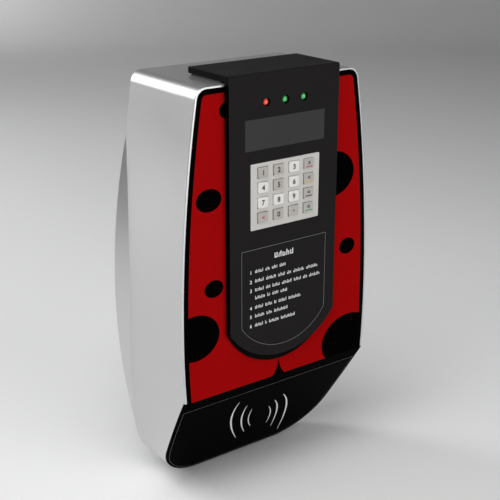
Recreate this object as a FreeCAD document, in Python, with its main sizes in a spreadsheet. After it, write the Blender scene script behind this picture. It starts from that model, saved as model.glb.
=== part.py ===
import FreeCAD, Part
import math
import os
import re
import Sketcher
from FreeCAD import Placement, Rotation, Vector

# Wall-hung ticket machine. X runs to the user's right, Y into the wall, Z up, all in millimetres.
# The origin is the middle of the four wall holes, on the wall's surface.
SIZES = {
    # casing
    "casing_height": 550.0, "casing_depth": 142.5, "front_width": 294.6, "wall_thick": 2.5, "rim_round": 0.8,
    "upper_side_radius": 1860.0, "lower_side_radius": 1240.0, "widest_level": -38.5,
    "top_corner_radius": 16.0, "bottom_corner_radius": 70.0,
    "rear_width": 315.0, "rear_side_radius": 870.0, "rear_widest_level": -11.5,
    "flare_angle": 28.0, "flare_depth": 30.0, "flare_low_rise": 68.5, "flare_high_drop": 50.0,
    "crease_rise": 160.0, "chin_angle": 31.5, "chin_thick": 3.5,
    # back plate and what fixes it
    "plate_thick": 3.0, "plate_gap": 0.3, "wall_hole_radius": 4.5,
    "wall_hole_across": 180.0, "wall_hole_up": 380.0,
    "block_size": 14.0, "block_depth": 18.0, "block_margin": 78.6, "block_end_margin": 80.0,
    "screw_radius": 2.0, "screw_length": 14.0,
    "cable_hole_radius": 14.0, "cable_bore_radius": 9.0, "grommet_lip": 4.0, "grommet_thick": 2.5,
    "cable_across": 70.0, "cable_level": -90.0,
    # door
    "door_thick": 3.0, "door_gap": 0.8, "lip_length": 18.0, "seam_gap": 1.2,
    "side_border": 6.0, "top_border": 6.0, "wing_thick": 1.0, "wing_tuck": 3.0,
    "spike_rise": 24.5, "spike_radius": 36.8, "wing_split": 0.3,
    "seal_width": 3.0, "seal_thick": 3.0, "seal_inset": 2.5,
    # hood
    "hood_width": 165.0, "hood_depth": 9.5, "hood_rise": 10.0, "hood_gap": 2.6, "rim_gap": 0.5,
    "hood_reach": 84.4,
    "hood_sheet": 2.0, "hood_side_end": -36.5, "hood_arc_drop": 43.5, "hood_bend": 3.0,
    "flange_thick": 2.5, "flange_overhang": 10.0,
    "boss_radius": 3.5, "boss_margin": 17.0, "hood_screw_radius": 1.5, "hood_screw_length": 7.0,
    # lamps and display
    "lamp_drop": 25.5, "lamp_pitch": 28.25, "lamp_radius": 4.25, "lamp_hole_radius": 5.3,
    "lamp_recess": 0.6, "lamp_board_thick": 0.8, "board_thick": 1.6,
    "display_width": 120.0, "display_height": 37.4, "display_drop": 62.6,
    "window_thick": 2.0, "fit_gap": 0.2, "module_width": 112.0, "module_height": 34.0,
    # keypad
    "keypad_width": 105.0, "keypad_height": 82.7, "keypad_level": 136.4, "keypad_proud": 1.0,
    "keypad_sheet": 2.0, "keypad_corner": 1.5, "keypad_edge": 0.5,
    "key_pitch_across": 23.45, "key_pitch_up": 18.7,
    "key_level": 138.1, "key_width": 15.2, "key_height": 13.3, "key_proud": 2.0, "key_gap": 0.35,
    "key_corner": 2.2, "key_edge": 0.7, "key_flange": 1.0, "key_flange_thick": 1.4, "key_play": 0.3,
    "key_travel": 1.2, "stem_radius": 2.5, "keypad_ring": 2.0,
    # instruction label
    "label_width": 133.0, "label_top": 71.0, "label_side_end": -30.5, "label_arc_drop": 35.5,
    "label_thick": 0.4,
    # hinge of the door
    "axis_inset": 42.5, "axis_drop": 45.0, "arm_margin": 37.3, "arm_thick": 6.0,
    "arm_inner": 48.0, "arm_outer": 56.0, "arm_start": 45.0, "arm_end": 127.0, "arm_width": 9.0,
    "eye_radius": 7.0, "pin_radius": 3.0, "pin_length": 24.0, "run_gap": 0.05,
    "bracket_gap": 1.0, "bracket_size": 20.0, "foot_height": 26.0, "foot_thick": 8.0,
    # lock
    "lock_inset": 37.5, "lock_radius": 9.0, "lock_collar_radius": 12.0, "lock_collar_thick": 2.5,
    "lock_length": 25.0, "plug_radius": 6.0, "nut_across": 24.0, "nut_thick": 4.0,
    "cam_length": 24.0, "cam_width": 12.0, "cam_thick": 3.0, "cam_tail": 8.0,
    "tab_gap": 1.0, "tab_thick": 3.0, "tab_height": 16.0, "catch": 9.5, "cam_clear": 4.0,
    "cam_corner": 4.0, "stud_radius": 3.0,
    # ticket printer
    "paper_depth": -22.0, "roll_radius": 35.0, "roll_width": 57.0, "roll_rise": 130.0,
    "spindle_radius": 6.0, "cheek_thick": 2.0, "cheek_gap": 1.5,
    "platen_radius": 7.0, "platen_rise": 67.0, "platen_width": 58.0,
    "axle_radius": 3.0, "gear_radius": 9.0, "gear_thick": 4.0,
    "frame_side": 2.0, "frame_half": 36.0, "frame_top_rise": 85.0, "frame_low_rise": 49.0,
    "frame_front": -44.0, "head_depth": 5.0, "head_height": 16.0, "paper_half": 0.15,
    "chute_inner_width": 62.0, "chute_inner_depth": 8.0, "chute_wall": 1.5, "chute_rise": 45.0,
    "outlet_flange": 4.0, "outlet_thick": 2.0,
    # electronics
    "standoff_height": 10.0, "standoff_radius": 3.0,
    "board_width": 160.0, "board_height": 100.0, "board_level": 140.0,
    "supply_width": 110.0, "supply_height": 80.0, "supply_depth": 36.0,
    "supply_across": -55.0, "supply_level": 20.0,
    "antenna_width": 90.0, "antenna_height": 60.0, "antenna_slope": 105.0,
}

# Sizes that follow from others.
FOLLOWS = {
    "crease_level": "-casing_height / 2 + crease_rise",
    "axis_level": "crease_level - axis_drop",
    "axis_depth": "-casing_depth + axis_inset",
    "lock_depth": "-casing_depth + lock_inset",
    "arm_across": "front_width / 2 - arm_margin",
    "block_across": "front_width - block_margin",
    "block_up": "casing_height - block_end_margin",
    "boss_across": "hood_width - boss_margin",
    "roll_level": "-casing_height / 2 + roll_rise",
    "platen_level": "-casing_height / 2 + platen_rise",
    "frame_top": "-casing_height / 2 + frame_top_rise",
    "frame_bottom": "-casing_height / 2 + frame_low_rise",
    "chute_top": "-casing_height / 2 + chute_rise",
    "flare_low": "-casing_height / 2 + flare_low_rise",
    "flare_high": "casing_height / 2 - flare_high_drop",
    "spike_level": "crease_level + spike_rise",
    "lamp_level": "casing_height / 2 - lamp_drop",
    "display_level": "casing_height / 2 - display_drop",
}

doc = FreeCAD.newDocument("TicketMachine")
sheet = doc.addObject("Spreadsheet::Sheet", "dims")
for row, (alias, value) in enumerate(SIZES.items(), start=1):
    sheet.set("A%d" % row, alias)
    sheet.set("B%d" % row, str(value))
    sheet.setAlias("B%d" % row, alias)
for row, (alias, text) in enumerate(FOLLOWS.items(), start=len(SIZES) + 1):
    sheet.set("A%d" % row, alias)
    sheet.set("B%d" % row, "=" + text)
    sheet.setAlias("B%d" % row, alias)
doc.recompute()

finished = []       # the sub-parts, each of which becomes one file


# ---------------------------------------------------------------- helpers
def formula(text):
    """Put the sheet's name before every alias in a formula."""
    def named(match):
        word = match.group()
        return "dims." + word if word in SIZES or word in FOLLOWS else word
    return re.sub(r"[a-z][a-z_]*", named, text)


def bind(thing, prop, text):
    thing.setExpression(prop, formula(text))


def place(thing, corner):
    for axis, text in zip("xyz", corner):
        bind(thing, "Placement.Base." + axis, text)


def block(name, size, corner):
    """A box from its lowest corner, all six numbers as formulas."""
    box = doc.addObject("Part::Box", name)
    for prop, text in zip(("Length", "Width", "Height"), size):
        bind(box, prop, text)
    place(box, corner)
    return box


TURNS = {"x": Rotation(Vector(0, 1, 0), 90), "y": Rotation(Vector(1, 0, 0), -90), "z": Rotation()}


def rod(name, radius, length, start, axis):
    """A cylinder that runs from start towards +axis."""
    piece = doc.addObject("Part::Cylinder", name)
    piece.Placement = Placement(Vector(), TURNS[axis])
    bind(piece, "Radius", radius)
    bind(piece, "Height", length)
    place(piece, start)
    return piece


def sloped(name, size, corner):
    """A box in the chin's own directions: across, inwards from its face, and up its slope.

    Its zero point is the crease, where the chin meets the upright face.
    """
    box = doc.addObject("Part::Box", name)
    for prop, text in zip(("Length", "Width", "Height"), size):
        bind(box, prop, text)
    across, inwards, up = corner
    box.Placement = Placement(Vector(), Rotation(Vector(1, 0, 0), SIZES["chin_angle"]))
    bind(box, "Placement.Rotation.Angle", "chin_angle")
    place(box, (across,
                "-casing_depth + (%s) * cos(chin_angle) - (%s) * sin(chin_angle)" % (inwards, up),
                "crease_level + (%s) * sin(chin_angle) + (%s) * cos(chin_angle)" % (inwards, up)))
    return box


def fuse(name, pieces):
    joined = doc.addObject("Part::MultiFuse", name)
    joined.Shapes = pieces
    joined.Refine = True
    return joined


def cut(name, base, tools):
    tool = tools[0] if len(tools) == 1 else fuse(name + "_tools", tools)
    result = doc.addObject("Part::Cut", name)
    result.Base = base
    result.Tool = tool
    result.Refine = True
    return result


def common(name, pieces):
    shared = doc.addObject("Part::MultiCommon", name)
    shared.Shapes = pieces
    shared.Refine = True
    return shared


def group(name, pieces):
    """Separate solids of one kind that share a file."""
    bundle = doc.addObject("Part::Compound", name)
    bundle.Links = pieces
    return bundle


def rounded(name, base, radius, wanted):
    """Round the edges that wanted(edge) picks, with a radius read from the sheet."""
    doc.recompute()
    size = sheet.get(radius)
    piece = doc.addObject("Part::Fillet", name)
    piece.Base = base
    piece.Edges = [(number, size, size) for number, edge in enumerate(base.Shape.Edges, start=1)
                   if wanted(edge)]
    return piece


def front_rounded(name, base, radius):
    """Round the edges of a solid's front face."""
    doc.recompute()
    front = base.Shape.BoundBox.YMin
    return rounded(name, base, radius, lambda edge: edge.BoundBox.YMax < front + 0.01)


def runs_along(edge, axis):
    """True for a straight edge along one axis."""
    box = edge.BoundBox
    spans = {"x": box.XLength, "y": box.YLength, "z": box.ZLength}
    return spans.pop(axis) > 0.5 and max(spans.values()) < 1e-3


def finish(label, thing):
    thing.Label = label
    finished.append(thing)
    return thing


def sketch_in(body, role):
    """A sketch on one of the body's own origin planes."""
    drawing = body.newObject("Sketcher::SketchObject", body.Name + "_sketch")
    plane = [f for f in body.Origin.OriginFeatures if f.Role == role][0]
    drawing.AttachmentSupport = (plane, "")
    drawing.MapMode = "FlatFace"
    return drawing


def worked_out(text):
    """What a formula comes to, for a sketch's first drawing."""
    probe = doc.getObject("probe") or doc.addObject("Part::Box", "probe")
    bind(probe, "Placement.Base.x", text)
    doc.recompute()
    return probe.Placement.Base.x


def arc(x, z, radius, low, high):
    circle = Part.Circle(Vector(x, z, 0), Vector(0, 0, 1), radius)
    return Part.ArcOfCircle(circle, low, high)


def pad_forward(body, drawing, depth):
    """Thicken a sketch on the XZ plane towards the user."""
    pad = body.newObject("PartDesign::Pad", body.Name + "_pad")
    pad.Profile = drawing
    bind(pad, "Length", depth)
    drawing.Visibility = False
    doc.recompute()
    if body.Shape.BoundBox.YMax - body.Placement.Base.y > 1e-6:
        pad.Reversed = True
    doc.recompute()
    return pad


# ---------------------------------------------------------------- the machine's outlines
def barrel(name, inset, back, depth):
    """The casing's front outline, drawn in by inset, as a prism from y = back forwards.

    Each side is two arcs that meet upright at the widest level.
    """
    half = SIZES["front_width"] / 2
    widest = SIZES["widest_level"]
    top = SIZES["casing_height"] / 2
    upper, lower = SIZES["upper_side_radius"], SIZES["lower_side_radius"]
    rise = math.asin((top - widest) / upper)
    fall = math.asin((top + widest) / lower)
    top_x = half - upper + upper * math.cos(rise)
    low_x = half - lower + lower * math.cos(fall)

    body = doc.addObject("PartDesign::Body", name)
    drawing = sketch_in(body, "XZ_Plane")
    drawing.addGeometry([
        Part.LineSegment(Vector(-low_x, -top, 0), Vector(low_x, -top, 0)),
        arc(half - lower, widest, lower, -fall, 0.0),
        arc(half - upper, widest, upper, 0.0, rise),
        Part.LineSegment(Vector(top_x, top, 0), Vector(-top_x, top, 0)),
        arc(upper - half, widest, upper, math.pi - rise, math.pi),
        arc(lower - half, widest, lower, math.pi, math.pi + fall),
    ], False)
    for number in range(6):
        drawing.addConstraint(Sketcher.Constraint("Coincident", number, 2, (number + 1) % 6, 1))
    drawing.addConstraint(Sketcher.Constraint("Horizontal", 0))
    drawing.addConstraint(Sketcher.Constraint("Horizontal", 3))
    edge = "front_width / 2 - (%s)" % inset
    wanted = [
        ("DistanceY", (0, 1), -top, "bottom", "-casing_height / 2 + (%s)" % inset),
        ("DistanceY", (3, 1), top, "top", "casing_height / 2 - (%s)" % inset),
        ("DistanceX", (1, 2), half, "right_edge", edge),
        ("DistanceY", (1, 2), widest, "right_widest", "widest_level"),
        ("DistanceX", (4, 2), -half, "left_edge", "-(%s)" % edge),
        ("DistanceY", (4, 2), widest, "left_widest", "widest_level"),
        ("DistanceY", (1, 3), widest, "right_low_centre", "widest_level"),
        ("DistanceY", (2, 3), widest, "right_high_centre", "widest_level"),
        ("DistanceY", (4, 3), widest, "left_high_centre", "widest_level"),
        ("DistanceY", (5, 3), widest, "left_low_centre", "widest_level"),
        ("Radius", (1,), lower, "right_low", "lower_side_radius - (%s)" % inset),
        ("Radius", (2,), upper, "right_high", "upper_side_radius - (%s)" % inset),
        ("Radius", (4,), upper, "left_high", "upper_side_radius - (%s)" % inset),
        ("Radius", (5,), lower, "left_low", "lower_side_radius - (%s)" % inset),
    ]
    for kind, where, value, label, text in wanted:
        number = drawing.addConstraint(Sketcher.Constraint(kind, *where, value))
        drawing.renameConstraint(number, label)
        bind(drawing, "Constraints." + label, text)
    body.Placement = Placement(Vector(), Rotation())
    place(body, ("0", back, "0"))
    pad_forward(body, drawing, depth)

    for corner, radius, above in (("top", "top_corner_radius", True),
                                  ("bottom", "bottom_corner_radius", False)):
        shape = body.Shape
        limit = shape.BoundBox.ZMax if above else shape.BoundBox.ZMin
        edges = ["Edge%d" % number for number, line in enumerate(shape.Edges, start=1)
                 if runs_along(line, "y") and abs(line.BoundBox.ZMin - limit) < 0.01]
        before = body.Tip
        fillet = body.newObject("PartDesign::Fillet", "%s_%s_corners" % (name, corner))
        fillet.Base = (before, edges)
        bind(fillet, "Radius", "%s - (%s)" % (radius, inset))
        doc.recompute()
    return body


def flare(name, inset, over):
    """The widening at the casing's back edge: two cones that meet, cut off above and below."""
    cones = []
    for side in (1, -1):
        cone = doc.addObject("Part::Cone", "%s_cone_%s" % (name, "right" if side > 0 else "left"))
        cone.Placement = Placement(Vector(), Rotation(Vector(1, 0, 0), 90))
        bind(cone, "Radius1", "rear_side_radius - (%s) + (%s) * tan(flare_angle)" % (inset, over))
        bind(cone, "Radius2", "rear_side_radius - (%s) - flare_depth * tan(flare_angle)" % inset)
        bind(cone, "Height", "flare_depth + (%s)" % over)
        place(cone, ("%d * (rear_width / 2 - rear_side_radius)" % side, over, "rear_widest_level"))
        cones.append(cone)
    limit = block(name + "_limit", ("rear_width * 2", "flare_depth + (%s)" % over,
                                    "flare_high - flare_low - 2 * (%s)" % inset),
                  ("-rear_width", "-flare_depth", "flare_low + (%s)" % inset))
    return common(name, cones + [limit])


def shell_form(name, inset, over):
    """Barrel and flare as one solid, drawn in by inset and run past both ends by over."""
    front = barrel(name + "_barrel", inset, over, "casing_depth + 2 * (%s)" % over)
    return fuse(name, [front, flare(name + "_flare", inset, over)])


def soften_rim(form):
    """Round the front edge all the way along a barrel's outline."""
    body = form.Shapes[0]
    before = body.Tip
    front = body.Shape.BoundBox.YMin
    edges = ["Edge%d" % number for number, line in enumerate(body.Shape.Edges, start=1)
             if line.BoundBox.YMax < front + 0.01]
    fillet = body.newObject("PartDesign::Fillet", body.Name + "_rim")
    fillet.Base = (before, edges)
    bind(fillet, "Radius", "rim_round")
    doc.recompute()
    return form


def arched(name, width, top, side_end, drop, inset, back, depth):
    """A plate with a square top and an arc for its bottom, drawn in by inset."""
    half = worked_out(width) / 2
    body = doc.addObject("PartDesign::Body", name)
    drawing = sketch_in(body, "XZ_Plane")
    high, low, sag = worked_out(top), worked_out(side_end), worked_out(drop)
    radius = (half ** 2 + sag ** 2) / (2 * sag)
    centre = low - sag + radius
    spread = math.asin(half / radius)
    drawing.addGeometry([
        Part.LineSegment(Vector(-half, low, 0), Vector(-half, high, 0)),
        Part.LineSegment(Vector(-half, high, 0), Vector(half, high, 0)),
        Part.LineSegment(Vector(half, high, 0), Vector(half, low, 0)),
        arc(0, centre, radius, -math.pi / 2 - spread, -math.pi / 2 + spread),
    ], False)
    for first, end, second, start in ((0, 2, 1, 1), (1, 2, 2, 1), (2, 2, 3, 2), (3, 1, 0, 1)):
        drawing.addConstraint(Sketcher.Constraint("Coincident", first, end, second, start))
    drawing.addConstraint(Sketcher.Constraint("Vertical", 0))
    drawing.addConstraint(Sketcher.Constraint("Vertical", 2))
    drawing.addConstraint(Sketcher.Constraint("Horizontal", 1))
    wanted = [
        ("DistanceX", (0, 1), -half, "left", "-(%s) / 2 + (%s)" % (width, inset)),
        ("DistanceX", (2, 1), half, "right", "(%s) / 2 - (%s)" % (width, inset)),
        ("DistanceY", (1, 1), high, "top", "(%s) - (%s)" % (top, inset)),
        ("DistanceY", (3, 3), centre, "centre",
         "(%s) - (%s) + ((%s)^2 / 4 + (%s)^2) / (2 * (%s))" % (side_end, drop, width, drop, drop)),
        ("DistanceX", (3, 3), 0.0, "middle", None),
        ("Radius", (3,), radius, "bow",
         "((%s)^2 / 4 + (%s)^2) / (2 * (%s)) - (%s)" % (width, drop, drop, inset)),
    ]
    for kind, where, value, label, text in wanted:
        number = drawing.addConstraint(Sketcher.Constraint(kind, *where, value))
        drawing.renameConstraint(number, label)
        if text:
            bind(drawing, "Constraints." + label, text)
    place(body, ("0", back, "0"))
    pad_forward(body, drawing, depth)
    return body


# ---------------------------------------------------------------- casing
HOOD_TOP = "casing_height / 2 + hood_rise"
FRONT = "-casing_depth"
HOOD_FACE = "-casing_depth - hood_depth"


def in_front_of_chin(name, depth, gap):
    """All the room in front of a plane parallel to the chin, below the crease."""
    slab = sloped(name + "_slab", ("400", "200 + (%s)" % depth, "600"), ("-200", "-200", "-400"))
    low = block(name + "_low", ("400", "600", "400"), ("-200", "-400", "crease_level - 400 + (%s)" % gap))
    return common(name, [slab, low])


def casing_shell():
    outer = soften_rim(shell_form("shell_outer", "0", "0"))
    inner = shell_form("shell_inner", "wall_thick", "1")
    chin = in_front_of_chin("shell_chin_cut", "chin_thick", "door_gap")
    lock_hole = rod("shell_lock_hole", "lock_radius", "30", ("front_width / 2 - 25", "lock_depth",
                                                             "widest_level"), "x")
    slot = block("shell_ticket_slot",
                 ("chute_inner_width + 2 * chute_wall", "chute_inner_depth + 2 * chute_wall", "20"),
                 ("-chute_inner_width / 2 - chute_wall",
                  "paper_depth - chute_inner_depth / 2 - chute_wall", "-casing_height / 2 - 10"))
    return finish("casing_shell", cut("casing_shell_cut", outer, [inner, chin, lock_hole, slot]))


def corner_posts(name, radius, length, start_depth, across, up):
    """Four equal rods along Y at the corners of a rectangle."""
    posts = []
    for number, (side, end) in enumerate(((-1, -1), (1, -1), (1, 1), (-1, 1))):
        posts.append(rod("%s_%d" % (name, number), radius, length,
                         ("%d * (%s) / 2" % (side, across), start_depth,
                          "%d * (%s) / 2" % (end, up)), "y"))
    return posts


def back_plate():
    form = shell_form("plate_form", "wall_thick + plate_gap", "0")
    slab = block("plate_slab", ("400", "plate_thick", "600"), ("-200", "-plate_thick", "-300"))
    blank = common("plate_blank", [form, slab])
    holes = corner_posts("wall_hole", "wall_hole_radius", "plate_thick + 2", "-plate_thick - 1",
                         "wall_hole_across", "wall_hole_up")
    holes += corner_posts("block_hole", "screw_radius", "plate_thick + 2", "-plate_thick - 1",
                          "block_across", "block_up")
    holes.append(rod("cable_hole", "cable_hole_radius", "plate_thick + 2",
                     ("cable_across", "-plate_thick - 1", "cable_level"), "y"))
    return finish("back_plate", cut("back_plate_cut", blank, holes))


def corner_blocks():
    """Tapped blocks inside the shell that the back plate is screwed to, shaped to its wall."""
    room = shell_form("block_room", "wall_thick", "0")
    pieces = []
    for number, (side, end) in enumerate(((-1, -1), (1, -1), (1, 1), (-1, 1))):
        box = block("corner_block_%d" % number,
                    ("block_size + 30", "block_depth", "block_size"),
                    ("%d * block_across / 2 - %s" % (side, "block_size / 2" if side > 0
                                                     else "block_size / 2 - 30"),
                     "-plate_thick - block_depth", "%d * block_up / 2 - block_size / 2" % end))
        hole = rod("tapped_%d" % number, "screw_radius", "screw_length + 2",
                   ("%d * block_across / 2" % side, "-plate_thick - screw_length",
                    "%d * block_up / 2" % end), "y")
        pieces.append(cut("corner_block_cut_%d" % number,
                          common("corner_block_fit_%d" % number, [box, room]), [hole]))
    return finish("corner_blocks", group("corner_blocks_group", pieces))


def headed_screws(name, radius, length, head_thick, start_depth, places_of):
    """Screws that run forwards from start_depth, with their heads behind it."""
    screws = []
    for number, (across, level) in enumerate(places_of):
        shank = rod("%s_shank_%d" % (name, number), radius, length,
                    (across, "(%s) - (%s)" % (start_depth, length), level), "y")
        head = rod("%s_head_%d" % (name, number), "2 * " + radius, head_thick,
                   (across, start_depth, level), "y")
        screws.append(fuse("%s_%d" % (name, number), [shank, head]))
    return group(name + "_group", screws)


def back_plate_screws():
    """Countersunk flush with the wall side, so the heads sit inside the plate's thickness."""
    screws = []
    for number, (side, end) in enumerate(((-1, -1), (1, -1), (1, 1), (-1, 1))):
        screws.append(rod("plate_screw_%d" % number, "screw_radius", "screw_length + plate_thick",
                          ("%d * block_across / 2" % side, "-plate_thick - screw_length",
                           "%d * block_up / 2" % end), "y"))
    return finish("back_plate_screws", group("back_plate_screws_group", screws))


def cable_grommet():
    at = ("cable_across", "cable_level")
    neck = rod("grommet_neck", "cable_hole_radius", "plate_thick", (at[0], "-plate_thick", at[1]), "y")
    lip = rod("grommet_lip_ring", "cable_hole_radius + grommet_lip", "grommet_thick",
              (at[0], "-plate_thick - grommet_thick", at[1]), "y")
    bore = rod("grommet_bore", "cable_bore_radius", "30", (at[0], "-15", at[1]), "y")
    return finish("cable_grommet", cut("grommet_cut", fuse("grommet_body", [neck, lip]), [bore]))


def chin_cover():
    prism = barrel("chin_outline", "0", "0", "casing_depth")
    slab = sloped("chin_slab", ("400", "chin_thick", "400"),
                  ("-200", "0", "-400 - lip_length - seam_gap"))
    recess_outline = barrel("chin_recess_outline", "2.6", "10", "casing_depth + 60")
    recess = common("chin_recess", [recess_outline, sloped(
        "chin_recess_slab", ("400", "2.6", "400"), ("-200", "-1", "-402 - lip_length - seam_gap"))])
    blank = common("chin_blank", [prism, slab])
    return finish("chin_cover", cut("chin_cover_cut", blank, [recess]))


def reader_window():
    """The gloss plate let into the chin, which the contactless reader works through."""
    outline = barrel("reader_outline", "3.2", "10", "casing_depth + 60")
    slab = sloped("reader_slab", ("400", "1.6", "400"), ("-200", "0", "-402.6 - lip_length - seam_gap"))
    return finish("reader_window", common("reader_window_fit", [outline, slab]))


def reader_antenna():
    board = sloped("antenna_board", ("antenna_width", "board_thick", "antenna_height"),
                   ("-antenna_width / 2", "chin_thick",
                    "-antenna_slope - antenna_height / 2"))
    return finish("reader_antenna", board)



# ---------------------------------------------------------------- door
def wing_form(name, side):
    """One red half of the face: up to the border outside, under the hood inside."""
    outline = barrel(name + "_outline", "wall_thick + door_gap + side_border", "0",
                     "casing_depth + 40")
    low_x = "wing_split" if side > 0 else "-200"
    slab = block(name + "_slab", ("200 - wing_split", "wing_thick",
                                  "casing_height / 2 - wall_thick - door_gap - top_border - crease_level"),
                 (low_x, FRONT, "crease_level"))
    under_hood = arched(name + "_under_hood", "hood_width", HOOD_TOP, "hood_side_end",
                        "hood_arc_drop", "wing_tuck", "-casing_depth + 20", "40")
    spike_box = block(name + "_spike_box",
                      ("12", "40", "spike_level - crease_level + 1"),
                      (low_x if side > 0 else "-wing_split - 12", "-casing_depth - 20",
                       "crease_level - 1"))
    round_tool = rod(name + "_spike_round", "spike_radius", "60",
                     ("%d * (spike_radius + wing_split)" % side, "-casing_depth - 30", "spike_level"),
                     "y")
    spike = cut(name + "_spike", spike_box, [round_tool])
    return cut(name + "_form", common(name + "_blank", [outline, slab]), [under_hood, spike])


def hood_screw_places():
    """Where the hood's bosses stand: four down each side and two near the bottom arc."""
    side = "boss_across / 2"
    levels = ("casing_height / 2 - 20", "display_level - display_height / 2 - 8",
              "label_top - 6", "hood_side_end")
    return [("%s(%s)" % (sign, side), level) for sign in ("-", "") for level in levels]


def front_panel(wings):
    """The door's plate: upright inside the casing's rim, then bent back down the chin."""
    inner = barrel("panel_outline", "wall_thick + door_gap", "0", "casing_depth + 40")
    upright = common("panel_upright", [inner, block(
        "panel_slab", ("400", "door_thick", "casing_height / 2 - crease_level"),
        ("-200", FRONT, "crease_level"))])
    outer = barrel("panel_lip_outline", "0", "0", "casing_depth")
    lip = common("panel_lip", [outer, sloped("panel_lip_slab", ("400", "door_thick", "lip_length + 60"),
                                             ("-200", "0", "-lip_length")),
                               block("panel_lip_low", ("400", "400", "100"),
                                     ("-200", "-300", "crease_level - 100"))])
    plate = fuse("panel_plate", [upright, lip])
    holes = []
    for number, (across, level) in enumerate(hood_screw_places()):
        holes.append(rod("panel_hole_%d" % number, "hood_screw_radius", "door_thick + 2",
                         (across, "-casing_depth - 1", level), "y"))
    holes.append(block("panel_cable_slot", ("40", "door_thick + 2", "12"),
                       ("-20", "-casing_depth - 1", "display_level - display_height / 2 - 14")))
    return finish("front_panel", cut("front_panel_cut", plate, wings + holes))


def door_seal():
    """Rubber strip round the back of the door's upright part."""
    outer = barrel("seal_outer", "wall_thick + door_gap + seal_inset", "0", "casing_depth + 40")
    inner = barrel("seal_inner", "wall_thick + door_gap + seal_inset + seal_width", "0",
                   "casing_depth + 40")
    slab = block("seal_slab", ("400", "seal_thick", "casing_height / 2 - crease_level - 8"),
                 ("-200", "-casing_depth + door_thick", "crease_level + 8"))
    return finish("door_seal", common("seal_fit", [cut("seal_ring", outer, [inner]), slab]))


def hood():
    """The folded cover over the display and keypad: a lip goes back over the casing's top, and a
    thin flange shows below its bottom arc."""
    lip_level = "casing_height / 2 + hood_gap"
    front = arched("hood_front", "hood_width", HOOD_TOP, "hood_side_end", "hood_arc_drop", "0",
                   FRONT, "hood_depth")
    lip = block("hood_lip", ("hood_width", "hood_reach", "hood_rise - hood_gap"),
                ("-hood_width / 2", HOOD_FACE, lip_level))
    flange = arched("hood_flange", "hood_width", "hood_side_end + flange_thick", "hood_side_end",
                    "hood_arc_drop + flange_overhang", "0", FRONT, "flange_thick")
    form = rounded("hood_form", fuse("hood_outer", [front, lip, flange]), "hood_bend",
                   lambda edge: runs_along(edge, "x") and edge.BoundBox.XLength > 100
                   and edge.BoundBox.ZMax > worked_out(HOOD_TOP) - 0.01
                   and edge.BoundBox.YMin < worked_out(HOOD_FACE) + 0.01)
    front_room = arched("hood_front_room", "hood_width", HOOD_TOP, "hood_side_end", "hood_arc_drop",
                        "hood_sheet", "-casing_depth + 1", "hood_depth - hood_sheet + 1")
    lip_room = block("hood_lip_room",
                     ("hood_width - 2 * hood_sheet", "hood_reach - 2 * hood_sheet",
                      "hood_rise - hood_gap - hood_sheet + 1"),
                     ("hood_sheet - hood_width / 2", "-casing_depth - hood_depth + hood_sheet",
                      "casing_height / 2 + hood_gap - 1"))
    shell = cut("hood_shell", form, [front_room, lip_room])
    bosses = []
    for number, (across, level) in enumerate(hood_screw_places()):
        bosses.append(rod("hood_boss_%d" % number, "boss_radius", "hood_depth - hood_sheet",
                          (across, "-casing_depth - hood_depth + hood_sheet", level), "y"))
    tools = [
        block("display_opening", ("display_width + 2 * fit_gap", "20", "display_height + 2 * fit_gap"),
              ("-display_width / 2 - fit_gap", "-casing_depth - 20",
               "display_level - display_height / 2 - fit_gap")),
        block("keypad_opening", ("keypad_width + 2 * fit_gap", "20", "keypad_height + 2 * fit_gap"),
              ("-keypad_width / 2 - fit_gap", "-casing_depth - 20",
               "keypad_level - keypad_height / 2 - fit_gap")),
    ]
    tools.append(block("rim_relief", ("400", "1.5", "wall_thick + door_gap + hood_gap"),
                       ("-200", "-casing_depth - rim_gap",
                        "casing_height / 2 - wall_thick - door_gap")))
    for number in (-1, 0, 1):
        tools.append(rod("lamp_opening_%d" % (number + 1), "lamp_hole_radius", "20",
                         ("%d * lamp_pitch" % number, "-casing_depth - 20", "lamp_level"), "y"))
    for number, (across, level) in enumerate(hood_screw_places()):
        tools.append(rod("boss_hole_%d" % number, "hood_screw_radius",
                         "hood_screw_length - door_thick + 1",
                         (across, "-casing_depth - hood_screw_length + door_thick", level), "y"))
    return finish("hood_cover", cut("hood_cut", fuse("hood_body", [shell] + bosses), tools))


def hood_screws():
    return finish("hood_screws", headed_screws(
        "hood_screw", "hood_screw_radius", "hood_screw_length", "2",
        "-casing_depth + door_thick", hood_screw_places()))


def lamps():
    """Three round lamp lenses: a domed end on a straight body, standing on the lamp board."""
    names = ("lamp_red", "lamp_green_middle", "lamp_green_right")
    for number, name in zip((-1, 0, 1), names):
        across = "%d * lamp_pitch" % number
        tip = "-casing_depth - hood_depth + lamp_recess"
        body = rod(name + "_body", "lamp_radius",
                   "hood_depth - lamp_recess - lamp_radius - lamp_board_thick",
                   (across, "%s + lamp_radius" % tip, "lamp_level"), "y")
        dome = doc.addObject("Part::Sphere", name + "_dome")
        bind(dome, "Radius", "lamp_radius")
        place(dome, (across, "%s + lamp_radius" % tip, "lamp_level"))
        front_half = common(name + "_cap", [dome, block(
            name + "_half", ("20", "20", "20"),
            ("%s - 10" % across, "%s + lamp_radius - 20" % tip, "lamp_level - 10"))])
        finish(name, fuse(name + "_lens", [body, front_half]))


def lamp_board():
    board = block("lamp_board_box", ("2 * lamp_pitch + 30", "lamp_board_thick", "16"),
                  ("-lamp_pitch - 15", "-casing_depth - lamp_board_thick", "lamp_level - 8"))
    return finish("lamp_board", board)


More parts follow.
